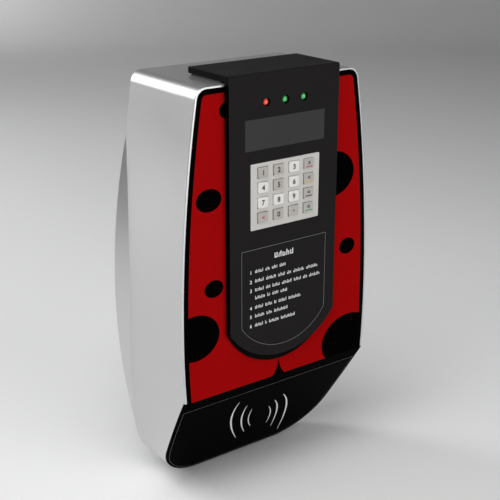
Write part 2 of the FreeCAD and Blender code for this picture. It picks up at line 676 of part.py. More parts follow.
def display_window():
    pane = block("window_pane", ("display_width", "window_thick", "display_height"),
                 ("-display_width / 2", HOOD_FACE, "display_level - display_height / 2"))
    flange = block("window_flange", ("display_width + 6", "1.2", "display_height + 6"),
                   ("-display_width / 2 - 3", "-casing_depth - hood_depth + hood_sheet",
                    "display_level - display_height / 2 - 3"))
    return finish("display_window", fuse("window_whole", [pane, flange]))


def display_module():
    front = "-casing_depth - hood_depth + hood_sheet + 1.2"
    module = block("module_box", ("module_width", "hood_depth - hood_sheet - 1.4", "module_height"),
                   ("-module_width / 2", front, "display_level - module_height / 2"))
    return finish("display_module", module)


def instruction_label():
    label = arched("label_sheet", "label_width", "label_top", "label_side_end", "label_arc_drop",
                   "0", HOOD_FACE, "label_thick")
    return finish("instruction_label", label)


# ---------------------------------------------------------------- keypad
KEYS = (("key_1", "key_2", "key_3", "key_function_1"), ("key_4", "key_5", "key_6", "key_function_2"),
        ("key_7", "key_8", "key_9", "key_function_3"), ("key_clear", "key_0", "key_point",
                                                        "key_function_4"))
PLATE_FACE = "-casing_depth - hood_depth - keypad_proud"


def key_place(row, column):
    across = "(%d - 1.5) * key_pitch_across" % column
    level = "key_level - (%d - 1.5) * key_pitch_up" % row
    return across, level


def keypad_plate():
    plate = block("keypad_sheet_box", ("keypad_width", "keypad_sheet", "keypad_height"),
                  ("-keypad_width / 2", PLATE_FACE, "keypad_level - keypad_height / 2"))
    plate = rounded("keypad_sheet_round", plate, "keypad_corner", lambda edge: runs_along(edge, "y"))
    plate = front_rounded("keypad_sheet_front", plate, "keypad_edge")
    windows = []
    for row in range(4):
        for column in range(4):
            across, level = key_place(row, column)
            windows.append(block("key_window_%d_%d" % (row, column),
                                 ("key_width + 2 * key_gap", "20", "key_height + 2 * key_gap"),
                                 ("%s - key_width / 2 - key_gap" % across, "-casing_depth - 20",
                                  "%s - key_height / 2 - key_gap" % level)))
    return finish("keypad_plate", cut("keypad_plate_cut", plate, windows))


def keypad_frame():
    """A tray behind the keypad plate that carries the switch board."""
    depth = "hood_depth + keypad_proud - keypad_sheet"
    start = "-casing_depth - hood_depth - keypad_proud + keypad_sheet"
    outer = block("keypad_frame_outer", ("keypad_width", depth, "keypad_height"),
                  ("-keypad_width / 2", start, "keypad_level - keypad_height / 2"))
    inner = block("keypad_frame_inner",
                  ("keypad_width - 2 * keypad_ring", "20", "keypad_height - 2 * keypad_ring"),
                  ("keypad_ring - keypad_width / 2", "-casing_depth - 20",
                   "keypad_level - keypad_height / 2 + keypad_ring"))
    return finish("keypad_frame", cut("keypad_frame_cut", outer, [inner]))


def keypad_board():
    board = block("keypad_board_box",
                  ("keypad_width - 2 * keypad_ring", "board_thick",
                   "keypad_height - 2 * keypad_ring"),
                  ("keypad_ring - keypad_width / 2", "-casing_depth - board_thick",
                   "keypad_level - keypad_height / 2 + keypad_ring"))
    return finish("keypad_board", board)


def keys():
    """Each key: a rounded cap through the plate, a flange that keeps it in, and a stem."""
    plate_back = "-casing_depth - hood_depth - keypad_proud + keypad_sheet"
    flange_start = "%s + key_play" % plate_back
    for row in range(4):
        for column in range(4):
            name = KEYS[row][column]
            across, level = key_place(row, column)
            cap = block(name + "_cap", ("key_width", "key_proud + keypad_sheet + key_play + 0.2",
                                        "key_height"),
                        ("%s - key_width / 2" % across, "%s - key_proud" % PLATE_FACE,
                         "%s - key_height / 2" % level))
            cap = rounded(name + "_cap_round", cap, "key_corner", lambda edge: runs_along(edge, "y"))
            cap = front_rounded(name + "_cap_front", cap, "key_edge")
            flange = block(name + "_flange",
                           ("key_width + 2 * (key_flange + key_gap)", "key_flange_thick",
                            "key_height + 2 * (key_flange + key_gap)"),
                           ("%s - key_width / 2 - key_flange - key_gap" % across, flange_start,
                            "%s - key_height / 2 - key_flange - key_gap" % level))
            stem = rod(name + "_stem", "stem_radius",
                       "hood_depth + keypad_proud - keypad_sheet - key_play - board_thick"
                       " - key_travel - 0.4",
                       (across, flange_start, level), "y")
            finish(name, fuse(name + "_whole", [cap, flange, stem]))


# ---------------------------------------------------------------- door hinge
def hinge_side(side, arms, brackets, pins):
    """One hidden hinge: a hooked arm on the door, a pin, and a bracket on the casing's wall."""
    name = "right" if side > 0 else "left"
    low_x = "%d * arm_across - arm_thick / 2" % side
    ring = doc.addObject("Part::Cylinder", name + "_arm_ring")
    bind(ring, "Radius", "arm_outer")
    bind(ring, "Height", "arm_thick")
    bind(ring, "Angle", "arm_end - arm_start")
    start = SIZES["arm_start"]
    ring.Placement = Placement(Vector(), Rotation(Vector(1, 0, 0), start)
                               .multiply(Rotation(Vector(0, 1, 0), Vector(0, 0, 1), Vector(1, 0, 0))))
    place(ring, (low_x, "axis_depth", "axis_level"))
    hollow = rod(name + "_arm_hollow", "arm_inner", "arm_thick + 2",
                 ("%s - 1" % low_x, "axis_depth", "axis_level"), "x")
    leg = doc.addObject("Part::Box", name + "_arm_leg")
    bind(leg, "Length", "arm_thick")
    bind(leg, "Width", "arm_outer - 0.5")
    bind(leg, "Height", "arm_width")
    leg.Placement = Placement(Vector(), Rotation(Vector(1, 0, 0), start))
    place(leg, (low_x, "axis_depth + arm_width / 2 * sin(arm_start)",
                "axis_level - arm_width / 2 * cos(arm_start)"))
    eye = rod(name + "_arm_eye", "eye_radius", "arm_thick", (low_x, "axis_depth", "axis_level"), "x")
    foot = block(name + "_arm_foot", ("arm_thick + 8", "foot_thick", "foot_height"),
                 ("%s - 4" % low_x, "-casing_depth + door_thick", "crease_level + 1.5"))
    web = block(name + "_arm_web", ("arm_thick", "foot_thick + 6", "foot_height - 12"),
                (low_x, "-casing_depth + door_thick", "crease_level + 1.5"))
    eye_hole = rod(name + "_eye_hole", "pin_radius + run_gap", "arm_thick + 2",
                   ("%s - 1" % low_x, "axis_depth", "axis_level"), "x")
    body = fuse(name + "_arm_body", [cut(name + "_arm_hook", ring, [hollow]), leg, eye, foot, web])
    arms.append(cut(name + "_arm_cut", body, [eye_hole]))

    room = barrel(name + "_bracket_room", "wall_thick", "0", "casing_depth")
    gap_x = "arm_across + arm_thick / 2 + bracket_gap"
    bracket_x = gap_x if side > 0 else "-(%s) - 40" % gap_x
    box = block(name + "_bracket_box", ("40", "bracket_size", "bracket_size"),
                (bracket_x, "axis_depth - bracket_size / 2 + 5", "axis_level - bracket_size / 2"))
    chin_room = in_front_of_chin(name + "_bracket_chin", "chin_thick", "0")
    pin_x = "arm_across - arm_thick / 2 - 2" if side > 0 else "-arm_across + arm_thick / 2 + 2 - pin_length"
    hole = rod(name + "_bracket_hole", "pin_radius", "pin_length", (pin_x, "axis_depth", "axis_level"),
               "x")
    brackets.append(cut(name + "_bracket_cut", common(name + "_bracket_fit", [box, room]),
                        [chin_room, hole]))
    pins.append(rod(name + "_pin", "pin_radius", "pin_length", (pin_x, "axis_depth", "axis_level"),
                    "x"))


def door_hinge():
    arms, brackets, pins = [], [], []
    for side in (-1, 1):
        hinge_side(side, arms, brackets, pins)
    finish("hinge_arms", group("hinge_arms_group", arms))
    finish("hinge_brackets", group("hinge_brackets_group", brackets))
    finish("hinge_pins", group("hinge_pins_group", pins))


# ---------------------------------------------------------------- lock
LOCK_INNER = "front_width / 2 - lock_length"


def lock():
    """A cam lock through the right-hand wall: housing, nut, turning plug and its cam."""
    collar = rod("lock_collar", "lock_collar_radius", "lock_collar_thick",
                 ("front_width / 2", "lock_depth", "widest_level"), "x")
    barrel_rod = rod("lock_barrel_rod", "lock_radius", "lock_length",
                     (LOCK_INNER, "lock_depth", "widest_level"), "x")
    bore = rod("lock_bore", "plug_radius + run_gap", "lock_length + 20",
               (LOCK_INNER + " - 5", "lock_depth", "widest_level"), "x")
    finish("lock_housing", cut("lock_housing_cut", fuse("lock_housing_body", [collar, barrel_rod]),
                               [bore]))

    nut = doc.addObject("Part::Prism", "lock_nut_hex")
    nut.Polygon = 6
    nut.Placement = Placement(Vector(), TURNS["x"])
    bind(nut, "Circumradius", "nut_across / 2 / cos(30)")
    bind(nut, "Height", "nut_thick")
    place(nut, ("front_width / 2 - wall_thick - nut_thick - 0.1", "lock_depth", "widest_level"))
    nut_hole = rod("lock_nut_hole", "lock_radius", "40",
                   (LOCK_INNER, "lock_depth", "widest_level"), "x")
    finish("lock_nut", cut("lock_nut_cut", nut, [nut_hole]))

    plug_rod = rod("lock_plug_rod", "plug_radius", "lock_length + lock_collar_thick - 0.3 + 2",
                   (LOCK_INNER + " - 2", "lock_depth", "widest_level"), "x")
    stud = rod("lock_stud", "stud_radius", "cam_thick + 2.5",
               (LOCK_INNER + " - 2 - cam_thick - 2", "lock_depth", "widest_level"), "x")
    stud_head = rod("lock_stud_head", "stud_radius + 1.2", "2",
                    (LOCK_INNER + " - 2 - cam_thick - 2", "lock_depth", "widest_level"), "x")
    plug = fuse("lock_plug_body", [plug_rod, stud, stud_head])
    keyway = block("lock_keyway", ("6", "1.6", "7"),
                   ("front_width / 2 + lock_collar_thick - 5", "lock_depth - 0.8",
                    "widest_level - 3.5"))
    finish("lock_plug", cut("lock_plug_cut", plug, [keyway]))

    cam = block("lock_cam_box", ("cam_thick", "cam_length + cam_tail", "cam_width"),
                (LOCK_INNER + " - 2 - cam_thick", "lock_depth - cam_length",
                 "widest_level - cam_width / 2"))
    cam = rounded("lock_cam_round", cam, "cam_corner", lambda edge: runs_along(edge, "x"))
    cam_hole = rod("lock_cam_hole", "stud_radius", "40",
                   (LOCK_INNER + " - 20", "lock_depth", "widest_level"), "x")
    finish("lock_cam", cut("lock_cam_cut", cam, [cam_hole]))


def lock_striker():
    """The door's catch: an arm back from the panel with a tab that the cam drops in front of."""
    cam_x = LOCK_INNER + " - 2 - cam_thick"
    level = "widest_level + cam_length - catch"
    back = "lock_depth + cam_width / 2 + tab_gap"
    arm = block("striker_arm", ("3", "%s + tab_thick + casing_depth - door_thick" % back, "tab_height"),
                (cam_x + " - cam_clear - 3 - 2.5", "-casing_depth + door_thick", level))
    tab = block("striker_tab", ("cam_thick + cam_clear + 2.5 + 4", "tab_thick", "tab_height"),
                (cam_x + " - cam_clear - 2.5 - 1", back, level))
    foot = block("striker_foot", ("16", "2", "tab_height"),
                 (cam_x + " - cam_clear - 3 - 2.5 - 13", "-casing_depth + door_thick", level))
    finish("lock_striker", fuse("striker_whole", [arm, tab, foot]))


# ---------------------------------------------------------------- ticket printer
def printer():
    """Paper roll above, platen and head below, and a chute down to the slot in the base."""
    roll_depth = "paper_depth - roll_radius - paper_half"
    roll = rod("roll_paper", "roll_radius", "roll_width",
               ("-roll_width / 2", roll_depth, "roll_level"), "x")
    roll_hole = rod("roll_hole", "spindle_radius + run_gap", "roll_width + 2",
                    ("-roll_width / 2 - 1", roll_depth, "roll_level"), "x")
    finish("paper_roll", cut("paper_roll_cut", roll, [roll_hole]))
    half = "roll_width / 2 + cheek_gap"
    finish("roll_spindle", rod("spindle_rod", "spindle_radius", "2 * (%s + cheek_thick)" % half,
                               ("-(%s) - cheek_thick" % half, roll_depth, "roll_level"), "x"))

    cheeks = []
    for side in (-1, 1):
        low_x = half if side > 0 else "-(%s) - cheek_thick" % half
        cheeks.append(block("cheek_%d" % (side + 1),
                            ("cheek_thick", "-plate_thick - (%s) + spindle_radius + 6" % roll_depth, "36"),
                            (low_x, "%s - spindle_radius - 6" % roll_depth, "roll_level - 18")))
    web = block("cheek_web", ("2 * (%s + cheek_thick)" % half, "2", "36"),
                ("-(%s) - cheek_thick" % half, "-plate_thick - 2", "roll_level - 18"))
    hole = rod("cheek_hole", "spindle_radius", "100", ("-50", roll_depth, "roll_level"), "x")
    finish("roll_bracket", cut("roll_bracket_cut", fuse("roll_bracket_body", cheeks + [web]), [hole]))

    platen_depth = "paper_depth - paper_half - platen_radius - 0.3"
    sides = []
    for side in (-1, 1):
        low_x = "frame_half" if side > 0 else "-frame_half - frame_side"
        sides.append(block("printer_side_%d" % (side + 1),
                           ("frame_side", "-plate_thick - frame_front", "frame_top - frame_bottom"),
                           (low_x, "frame_front", "frame_bottom")))
    back = block("printer_back", ("2 * (frame_half + frame_side)", "2", "frame_top - frame_bottom"),
                 ("-frame_half - frame_side", "-plate_thick - 2", "frame_bottom"))
    bearing = rod("printer_bearing", "axle_radius + run_gap", "100",
                  ("-50", platen_depth, "platen_level"), "x")
    finish("printer_frame", cut("printer_frame_cut", fuse("printer_frame_body", sides + [back]),
                                [bearing]))
    rubber = rod("platen_rubber", "platen_radius", "platen_width",
                 ("-platen_width / 2", platen_depth, "platen_level"), "x")
    axle = rod("platen_axle_rod", "axle_radius", "2 * (frame_half + frame_side + 8)",
               ("-frame_half - frame_side - 8", platen_depth, "platen_level"), "x")
    finish("platen_roller", cut("platen_roller_cut", rubber, [axle]))
    shaft = rod("platen_shaft", "axle_radius", "2 * (frame_half + frame_side + 8)",
                ("-frame_half - frame_side - 8", platen_depth, "platen_level"), "x")
    gear = rod("platen_gear", "gear_radius", "gear_thick",
               ("frame_half + frame_side + 2", platen_depth, "platen_level"), "x")
    finish("platen_axle", fuse("platen_axle_body", [shaft, gear]))
    finish("print_head", block("print_head_bar", ("2 * frame_half", "head_depth", "head_height"),
                               ("-frame_half", "paper_depth + paper_half + 0.3",
                                "platen_level - head_height / 2")))


def ticket_chute():
    """The duct that guides a ticket out through the base, with a flange under the casing."""
    width = "chute_inner_width + 2 * chute_wall"
    depth = "chute_inner_depth + 2 * chute_wall"
    duct = block("chute_duct", (width, depth, "chute_top + casing_height / 2 + outlet_thick"),
                 ("-(%s) / 2" % width, "paper_depth - (%s) / 2" % depth,
                  "-casing_height / 2 - outlet_thick"))
    flange = block("chute_flange", (width + " + 2 * outlet_flange", depth + " + 2 * outlet_flange",
                                    "outlet_thick"),
                   ("-(%s) / 2 - outlet_flange" % width, "paper_depth - (%s) / 2 - outlet_flange" % depth,
                    "-casing_height / 2 - outlet_thick"))
    bore = block("chute_bore", ("chute_inner_width", "chute_inner_depth", "100"),
                 ("-chute_inner_width / 2", "paper_depth - chute_inner_depth / 2",
                  "-casing_height / 2 - 10"))
    return finish("ticket_chute", cut("chute_cut", fuse("chute_body", [duct, flange]), [bore]))


# ---------------------------------------------------------------- electronics
def controller():
    level = "board_level - board_height / 2"
    board_front = "-plate_thick - standoff_height - board_thick"
    card = block("controller_card", ("board_width", "board_thick", "board_height"),
                 ("-board_width / 2", board_front, level))
    chips = []
    for number, (across, up, wide, high, tall) in enumerate((
            (-40, 20, 28, 28, 3), (10, 25, 18, 12, 2.5), (-68, -30, 10, 34, 11),
            (30, -36, 60, 10, 9), (58, 22, 16, 30, 12), (-20, -25, 14, 20, 2))):
        chips.append(block("chip_%d" % number, ("%g" % wide, "%g" % tall, "%g" % high),
                           ("%g - %g / 2" % (across, wide), board_front + " - %g" % tall,
                            "board_level + %g - %g / 2" % (up, high))))
    finish("controller_board", fuse("controller_whole", [card] + chips))
    posts = []
    for number, (side, end) in enumerate(((-1, -1), (1, -1), (1, 1), (-1, 1))):
        posts.append(rod("standoff_%d" % number, "standoff_radius", "standoff_height",
                         ("%d * (board_width / 2 - 5)" % side, "-plate_thick - standoff_height",
                          "board_level + %d * (board_height / 2 - 5)" % end), "y"))
    finish("board_standoffs", group("board_standoffs_group", posts))


def power_supply():
    case = block("supply_case", ("supply_width", "supply_depth", "supply_height"),
                 ("supply_across - supply_width / 2", "-plate_thick - supply_depth",
                  "supply_level - supply_height / 2"))
    terminals = block("supply_terminals", ("supply_width - 30", "14", "12"),
                      ("supply_across - supply_width / 2 + 15", "-plate_thick - 20",
                       "supply_level - supply_height / 2 - 12"))
    finish("power_supply", fuse("supply_whole", [case, terminals]))


# ---------------------------------------------------------------- build and write
def build():
    casing_shell()
    back_plate()
    corner_blocks()
    back_plate_screws()
    cable_grommet()
    chin_cover()
    reader_window()
    reader_antenna()
    left = finish("left_wing", wing_form("left_wing", -1))
    right = finish("right_wing", wing_form("right_wing", 1))
    front_panel([left, right])
    door_seal()
    hood()
    hood_screws()
    lamps()
    lamp_board()
    display_window()
    display_module()
    instruction_label()
    keypad_plate()
    keypad_frame()
    keypad_board()
    keys()
    door_hinge()
    lock()
    lock_striker()
    printer()
    ticket_chute()
    controller()
    power_supply()
    doc.recompute()


def check_and_write():
    for thing in doc.Objects:
        if "Invalid" in thing.State or "Error" in thing.State:
            raise RuntimeError("%s failed: %s" % (thing.Label, thing.State))
    for thing in finished:
        if thing.Shape.isNull() or not thing.Shape.isValid() or not thing.Shape.Solids:
            raise RuntimeError("%s has no sound solid" % thing.Label)
    os.makedirs("parts", exist_ok=True)
    for thing in finished:
        thing.Shape.exportStep("parts/%s.step" % thing.Label)
    print("%d sub-parts written" % len(finished))


build()
check_and_write()
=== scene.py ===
import math

import bmesh
import bpy
import numpy as np
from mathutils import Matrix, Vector


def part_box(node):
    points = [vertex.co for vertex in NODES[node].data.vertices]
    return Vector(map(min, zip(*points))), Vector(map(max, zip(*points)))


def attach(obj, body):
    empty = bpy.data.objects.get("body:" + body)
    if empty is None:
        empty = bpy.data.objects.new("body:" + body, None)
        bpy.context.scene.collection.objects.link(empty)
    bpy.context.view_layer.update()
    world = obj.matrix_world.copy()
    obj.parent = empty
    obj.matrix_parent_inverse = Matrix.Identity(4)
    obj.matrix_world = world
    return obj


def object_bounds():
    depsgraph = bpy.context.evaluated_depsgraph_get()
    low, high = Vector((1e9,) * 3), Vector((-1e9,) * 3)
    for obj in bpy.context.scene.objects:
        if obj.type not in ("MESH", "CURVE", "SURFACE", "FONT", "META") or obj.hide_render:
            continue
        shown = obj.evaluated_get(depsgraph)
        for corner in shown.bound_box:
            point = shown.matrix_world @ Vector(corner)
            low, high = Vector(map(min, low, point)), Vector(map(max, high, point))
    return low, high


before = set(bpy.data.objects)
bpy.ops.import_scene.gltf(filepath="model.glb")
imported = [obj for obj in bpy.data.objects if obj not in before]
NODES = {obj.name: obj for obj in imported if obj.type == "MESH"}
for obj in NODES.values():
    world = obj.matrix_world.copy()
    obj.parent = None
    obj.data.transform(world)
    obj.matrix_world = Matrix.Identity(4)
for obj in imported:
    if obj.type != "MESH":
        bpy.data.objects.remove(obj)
cad_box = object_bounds()
KEY_NAMES = [n for n in sorted(NODES) if n.startswith("key_")]
scene = bpy.context.scene


# ---------------------------------------------------------------- camera
CAMERA_PLACE = (-0.7584, -1.1111, 0.4998)
CAMERA_TURN = (math.radians(70.207), 0.0, math.radians(-36.33))
CAMERA_LENS = 75.15


def make_camera():
    """The view that the part is shown from."""
    data = bpy.data.cameras.new("viewpoint")
    data.lens = CAMERA_LENS
    data.sensor_width = 36.0
    data.clip_start = 0.05
    data.clip_end = 60.0
    eye = bpy.data.objects.new("viewpoint", data)
    eye.location = CAMERA_PLACE
    eye.rotation_euler = CAMERA_TURN
    scene.collection.objects.link(eye)
    scene.camera = eye


make_camera()


# ---------------------------------------------------------------- shader helpers
def add_node(tree, kind, settings=None, **inputs):
    """A shader node with its settings and its unlinked input values."""
    node = tree.nodes.new(kind)
    for name, value in (settings or {}).items():
        setattr(node, name, value)
    for name, value in inputs.items():
        node.inputs[name.replace("_", " ")].default_value = value
    return node


def join(tree, source, out, target, into):
    """Link one node's output to another's input."""
    tree.links.new(source.outputs[out], target.inputs[into])


def math_node(tree, operation, first, second=None, clamp=False):
    """A Math node whose inputs are sockets or plain numbers."""
    node = tree.nodes.new("ShaderNodeMath")
    node.operation = operation
    node.use_clamp = clamp
    for place, value in enumerate((first, second)):
        if value is None:
            continue
        if isinstance(value, (int, float)):
            node.inputs[place].default_value = value
        else:
            tree.links.new(value, node.inputs[place])
    return node.outputs[0]


def mix_colour(tree, factor, first, second):
    """A Mix node on colours; each input is a socket or a plain value."""
    node = tree.nodes.new("ShaderNodeMix")
    node.data_type = "RGBA"
    for socket, value in ((node.inputs[0], factor), (node.inputs[6], first), (node.inputs[7], second)):
        if isinstance(value, (int, float, tuple)):
            socket.default_value = value
        else:
            tree.links.new(value, socket)
    return node.outputs[2]


def scale_range(tree, value, low, high, out_low, out_high):
    """A Map Range node: low to high becomes out_low to out_high."""
    node = tree.nodes.new("ShaderNodeMapRange")
    node.inputs[1].default_value = low
    node.inputs[2].default_value = high
    node.inputs[3].default_value = out_low
    node.inputs[4].default_value = out_high
    tree.links.new(value, node.inputs[0])
    return node.outputs[0]


def new_group(name, inputs, outputs):
    """A shader node group with named sockets; gives the tree and its input and output nodes."""
    tree = bpy.data.node_groups.new(name, "ShaderNodeTree")
    for label, kind, default in inputs:
        socket = tree.interface.new_socket(label, in_out="INPUT", socket_type=kind)
        socket.default_value = default
    for label, kind in outputs:
        tree.interface.new_socket(label, in_out="OUTPUT", socket_type=kind)
    return tree, tree.nodes.new("NodeGroupInput"), tree.nodes.new("NodeGroupOutput")


def make_grain_group():
    """Fine even speckle, as on powder coat or moulded plastic: a height and a soft mottling."""
    tree, given, out = new_group(
        "fine_grain", [("Scale", "NodeSocketFloat", 1500.0), ("Patch Scale", "NodeSocketFloat", 12.0)],
        [("Height", "NodeSocketFloat"), ("Mottle", "NodeSocketFloat")])
    place = tree.nodes.new("ShaderNodeTexCoord")
    fine = add_node(tree, "ShaderNodeTexNoise", Detail=3.0, Roughness=0.6)
    join(tree, place, "Object", fine, "Vector")
    join(tree, given, "Scale", fine, "Scale")
    patch = add_node(tree, "ShaderNodeTexNoise", Detail=4.0, Roughness=0.55)
    join(tree, place, "Object", patch, "Vector")
    join(tree, given, "Patch Scale", patch, "Scale")
    join(tree, fine, "Fac", out, "Height")
    join(tree, patch, "Fac", out, "Mottle")
    return tree


def make_brush_group():
    """Brushing: noise stretched long along one axis, so each streak is fine and many times its width."""
    tree, given, out = new_group(
        "brushed_streaks", [("Stretch", "NodeSocketVector", (900.0, 900.0, 18.0)),
                            ("Patch Scale", "NodeSocketFloat", 7.0)],
        [("Streak", "NodeSocketFloat"), ("Cloud", "NodeSocketFloat")])
    place = tree.nodes.new("ShaderNodeTexCoord")
    stretched = add_node(tree, "ShaderNodeVectorMath", {"operation": "MULTIPLY"})
    join(tree, place, "Object", stretched, 0)
    join(tree, given, "Stretch", stretched, 1)
    streak = add_node(tree, "ShaderNodeTexNoise", Scale=1.0, Detail=2.0, Roughness=0.6)
    join(tree, stretched, 0, streak, "Vector")
    cloud = add_node(tree, "ShaderNodeTexNoise", Detail=5.0, Roughness=0.5)
    join(tree, place, "Object", cloud, "Vector")
    join(tree, given, "Patch Scale", cloud, "Scale")
    join(tree, streak, "Fac", out, "Streak")
    join(tree, cloud, "Fac", out, "Cloud")
    return tree


def make_edge_group():
    """Edge mask: 1 on sharp edges, broken up by noise. It lays real wear on the black coat, and a painted
    highlight on the keypad's edges and on the hood's lit faces.
    """
    tree, given, out = new_group(
        "edge_wear_and_painted_highlight", [("Width", "NodeSocketFloat", 0.0006), ("Breakup", "NodeSocketFloat", 220.0)],
        [("Mask", "NodeSocketFloat")])
    bevel = add_node(tree, "ShaderNodeBevel", {"samples": 6})
    join(tree, given, "Width", bevel, "Radius")
    surface = tree.nodes.new("ShaderNodeNewGeometry")
    match = add_node(tree, "ShaderNodeVectorMath", {"operation": "DOT_PRODUCT"})
    join(tree, bevel, "Normal", match, 0)
    join(tree, surface, "Normal", match, 1)
    edge = scale_range(tree, match.outputs["Value"], 0.995, 0.90, 0.0, 1.0)
    place = tree.nodes.new("ShaderNodeTexCoord")
    noise = add_node(tree, "ShaderNodeTexNoise", Detail=3.0)
    join(tree, place, "Object", noise, "Vector")
    join(tree, given, "Breakup", noise, "Scale")
    worn = scale_range(tree, noise.outputs["Fac"], 0.45, 0.62, 0.0, 1.0)
    mask = math_node(tree, "MULTIPLY", edge, worn, clamp=True)
    tree.links.new(mask, out.inputs["Mask"])
    return tree


def make_spot_group():
    """An ellipse on the face: 1 inside, 0 outside, with an edge as sharp as print."""
    tree, given, out = new_group(
        "printed_spot", [("Centre", "NodeSocketVector", (0.0, 0.0, 0.0)),
                         ("Half Sizes", "NodeSocketVector", (0.01, 1.0, 0.01))],
        [("Mask", "NodeSocketFloat")])
    place = tree.nodes.new("ShaderNodeTexCoord")
    moved = add_node(tree, "ShaderNodeVectorMath", {"operation": "SUBTRACT"})
    join(tree, place, "Object", moved, 0)
    join(tree, given, "Centre", moved, 1)
    scaled = add_node(tree, "ShaderNodeVectorMath", {"operation": "DIVIDE"})
    join(tree, moved, 0, scaled, 0)
    join(tree, given, "Half Sizes", scaled, 1)
    length = add_node(tree, "ShaderNodeVectorMath", {"operation": "LENGTH"})
    join(tree, scaled, 0, length, 0)
    edge = scale_range(tree, length.outputs["Value"], 1.006, 0.994, 0.0, 1.0)
    tree.links.new(edge, out.inputs["Mask"])
    return tree


GRAIN = make_grain_group()
BRUSH = make_brush_group()
EDGE_WEAR_AND_HIGHLIGHT = make_edge_group()
SPOT = make_spot_group()


def use_group(tree, group, **inputs):
    """A group placed in a material, with its own input values."""
    node = tree.nodes.new("ShaderNodeGroup")
    node.node_tree = group
    for name, value in inputs.items():
        node.inputs[name.replace("_", " ")].default_value = value
    return node


def new_material(name, **plain):
    """A material with one Principled shader; plain values go on the shader's own sockets."""
    material = bpy.data.materials.new(name)
    material.use_nodes = True
    tree = material.node_tree
    shader = tree.nodes["Principled BSDF"]
    for label, value in plain.items():
        shader.inputs[label.replace("_", " ")].default_value = value
    return material, tree, shader


MOTTLE_LOW, MOTTLE_HIGH = 0.3, 0.7     # the part of the noise's range that shows
COAT_BUMP_DEPTH = 0.00004
BRUSH_BUMP_DEPTH = 0.00003


def drifting_gloss(tree, shader, mottle, smooth, rough):
    """Roughness that drifts from smooth to rough with the mottling."""
    gloss = scale_range(tree, mottle, MOTTLE_LOW, MOTTLE_HIGH, smooth, rough)
    tree.links.new(gloss, shader.inputs["Roughness"])


def add_bump(tree, shader, height, strength, distance):
    """A Bump node from a height to the shader's normal."""
    bump = add_node(tree, "ShaderNodeBump", Strength=strength, Distance=distance)
    tree.links.new(height, bump.inputs["Height"])
    join(tree, bump, "Normal", shader, "Normal")


def coated(name, colour, patch_colour, roughness, grain_scale=1500.0, bump=0.25, worn_colour=None,
           **plain):
    """Paint, powder coat, rubber or moulded plastic: speckled height, soft mottling, worn edges."""
    material, tree, shader = new_material(name, **plain)
    grain = use_group(tree, GRAIN, Scale=grain_scale)
    shade = mix_colour(tree, grain.outputs["Mottle"], colour + (1.0,), patch_colour + (1.0,))
    if worn_colour:
        wear_and_highlight = use_group(tree, EDGE_WEAR_AND_HIGHLIGHT)
        shade = mix_colour(tree, wear_and_highlight.outputs["Mask"], shade, worn_colour + (1.0,))
    tree.links.new(shade, shader.inputs["Base Color"])
    drifting_gloss(tree, shader, grain.outputs["Mottle"], roughness - 0.04, roughness + 0.05)
    add_bump(tree, shader, grain.outputs["Height"], bump, COAT_BUMP_DEPTH)
    return material


def brushed(name, light, dark, roughness, stretch, metallic=1.0, bump=0.12, edge_highlight_colour=None):
    """Brushed or rolled metal: streaks in colour, roughness and height; edges may take a painted highlight.
    """
    material, tree, shader = new_material(name, Metallic=metallic)
    brush = use_group(tree, BRUSH, Stretch=stretch)
    both = math_node(tree, "ADD", math_node(tree, "MULTIPLY", brush.outputs["Streak"], 0.55),
                     math_node(tree, "MULTIPLY", brush.outputs["Cloud"], 0.45))
    shade = mix_colour(tree, both, dark + (1.0,), light + (1.0,))
    # painted highlight: a bright colour on the edge mask stands in for light caught on the edges
    if edge_highlight_colour:
        wear_and_highlight = use_group(tree, EDGE_WEAR_AND_HIGHLIGHT, Width=0.0008, Breakup=60.0)
        shade = mix_colour(tree, wear_and_highlight.outputs["Mask"], shade, edge_highlight_colour + (1.0,))
    tree.links.new(shade, shader.inputs["Base Color"])
    drifting_gloss(tree, shader, both, roughness - 0.05, roughness + 0.06)
    add_bump(tree, shader, brush.outputs["Streak"], bump, BRUSH_BUMP_DEPTH)
    return material


def give(material, *names):
    """Put one material on CAD nodes."""
    for name in names:
        mesh = NODES[name].data
        mesh.materials.clear()
        mesh.materials.append(material)


# ---------------------------------------------------------------- finishes
CASING = brushed("satin_silver_casing", (0.67, 0.67, 0.67), (0.59, 0.59, 0.59), 0.40, (14.0, 900.0, 900.0),
                 bump=0.05)
BLACK_COAT = coated("black_powder_coat", (0.0006, 0.0005, 0.0005), (0.0012, 0.0010, 0.0010), 0.55,
                    worn_colour=(0.008, 0.008, 0.008), Specular_IOR_Level=0.003)
READER_GLOSS = coated("reader_gloss_black", (0.0003, 0.0003, 0.0003), (0.0006, 0.0006, 0.0006), 0.30,
                      bump=0.02, Specular_IOR_Level=0.003)
PANE = coated("smoked_display_pane", (0.036, 0.036, 0.036), (0.041, 0.041, 0.041), 0.30, bump=0.01,
              Specular_IOR_Level=0.03)
LABEL_FILM = coated("dark_label_film", (0.0112, 0.0101, 0.0103), (0.0128, 0.0116, 0.0118), 0.46,
                    grain_scale=2400.0, bump=0.12, Specular_IOR_Level=0.03)
DARK_PLASTIC = coated("dark_moulded_plastic", (0.03, 0.03, 0.031), (0.038, 0.038, 0.039), 0.5,
                      grain_scale=1100.0)
RUBBER = coated("black_rubber", (0.012, 0.012, 0.012), (0.02, 0.02, 0.019), 0.78, grain_scale=800.0, bump=0.4)
ZINC = brushed("zinc_plated_sheet", (0.58, 0.59, 0.60), (0.46, 0.47, 0.49), 0.36, (60.0, 60.0, 60.0))
SCREWS = brushed("bright_plated_screws", (0.62, 0.62, 0.64), (0.52, 0.52, 0.54), 0.24, (200.0, 200.0, 200.0))
LOCK_METAL = brushed("polished_lock_metal", (0.66, 0.66, 0.67), (0.56, 0.56, 0.57), 0.2, (40.0, 900.0, 900.0))
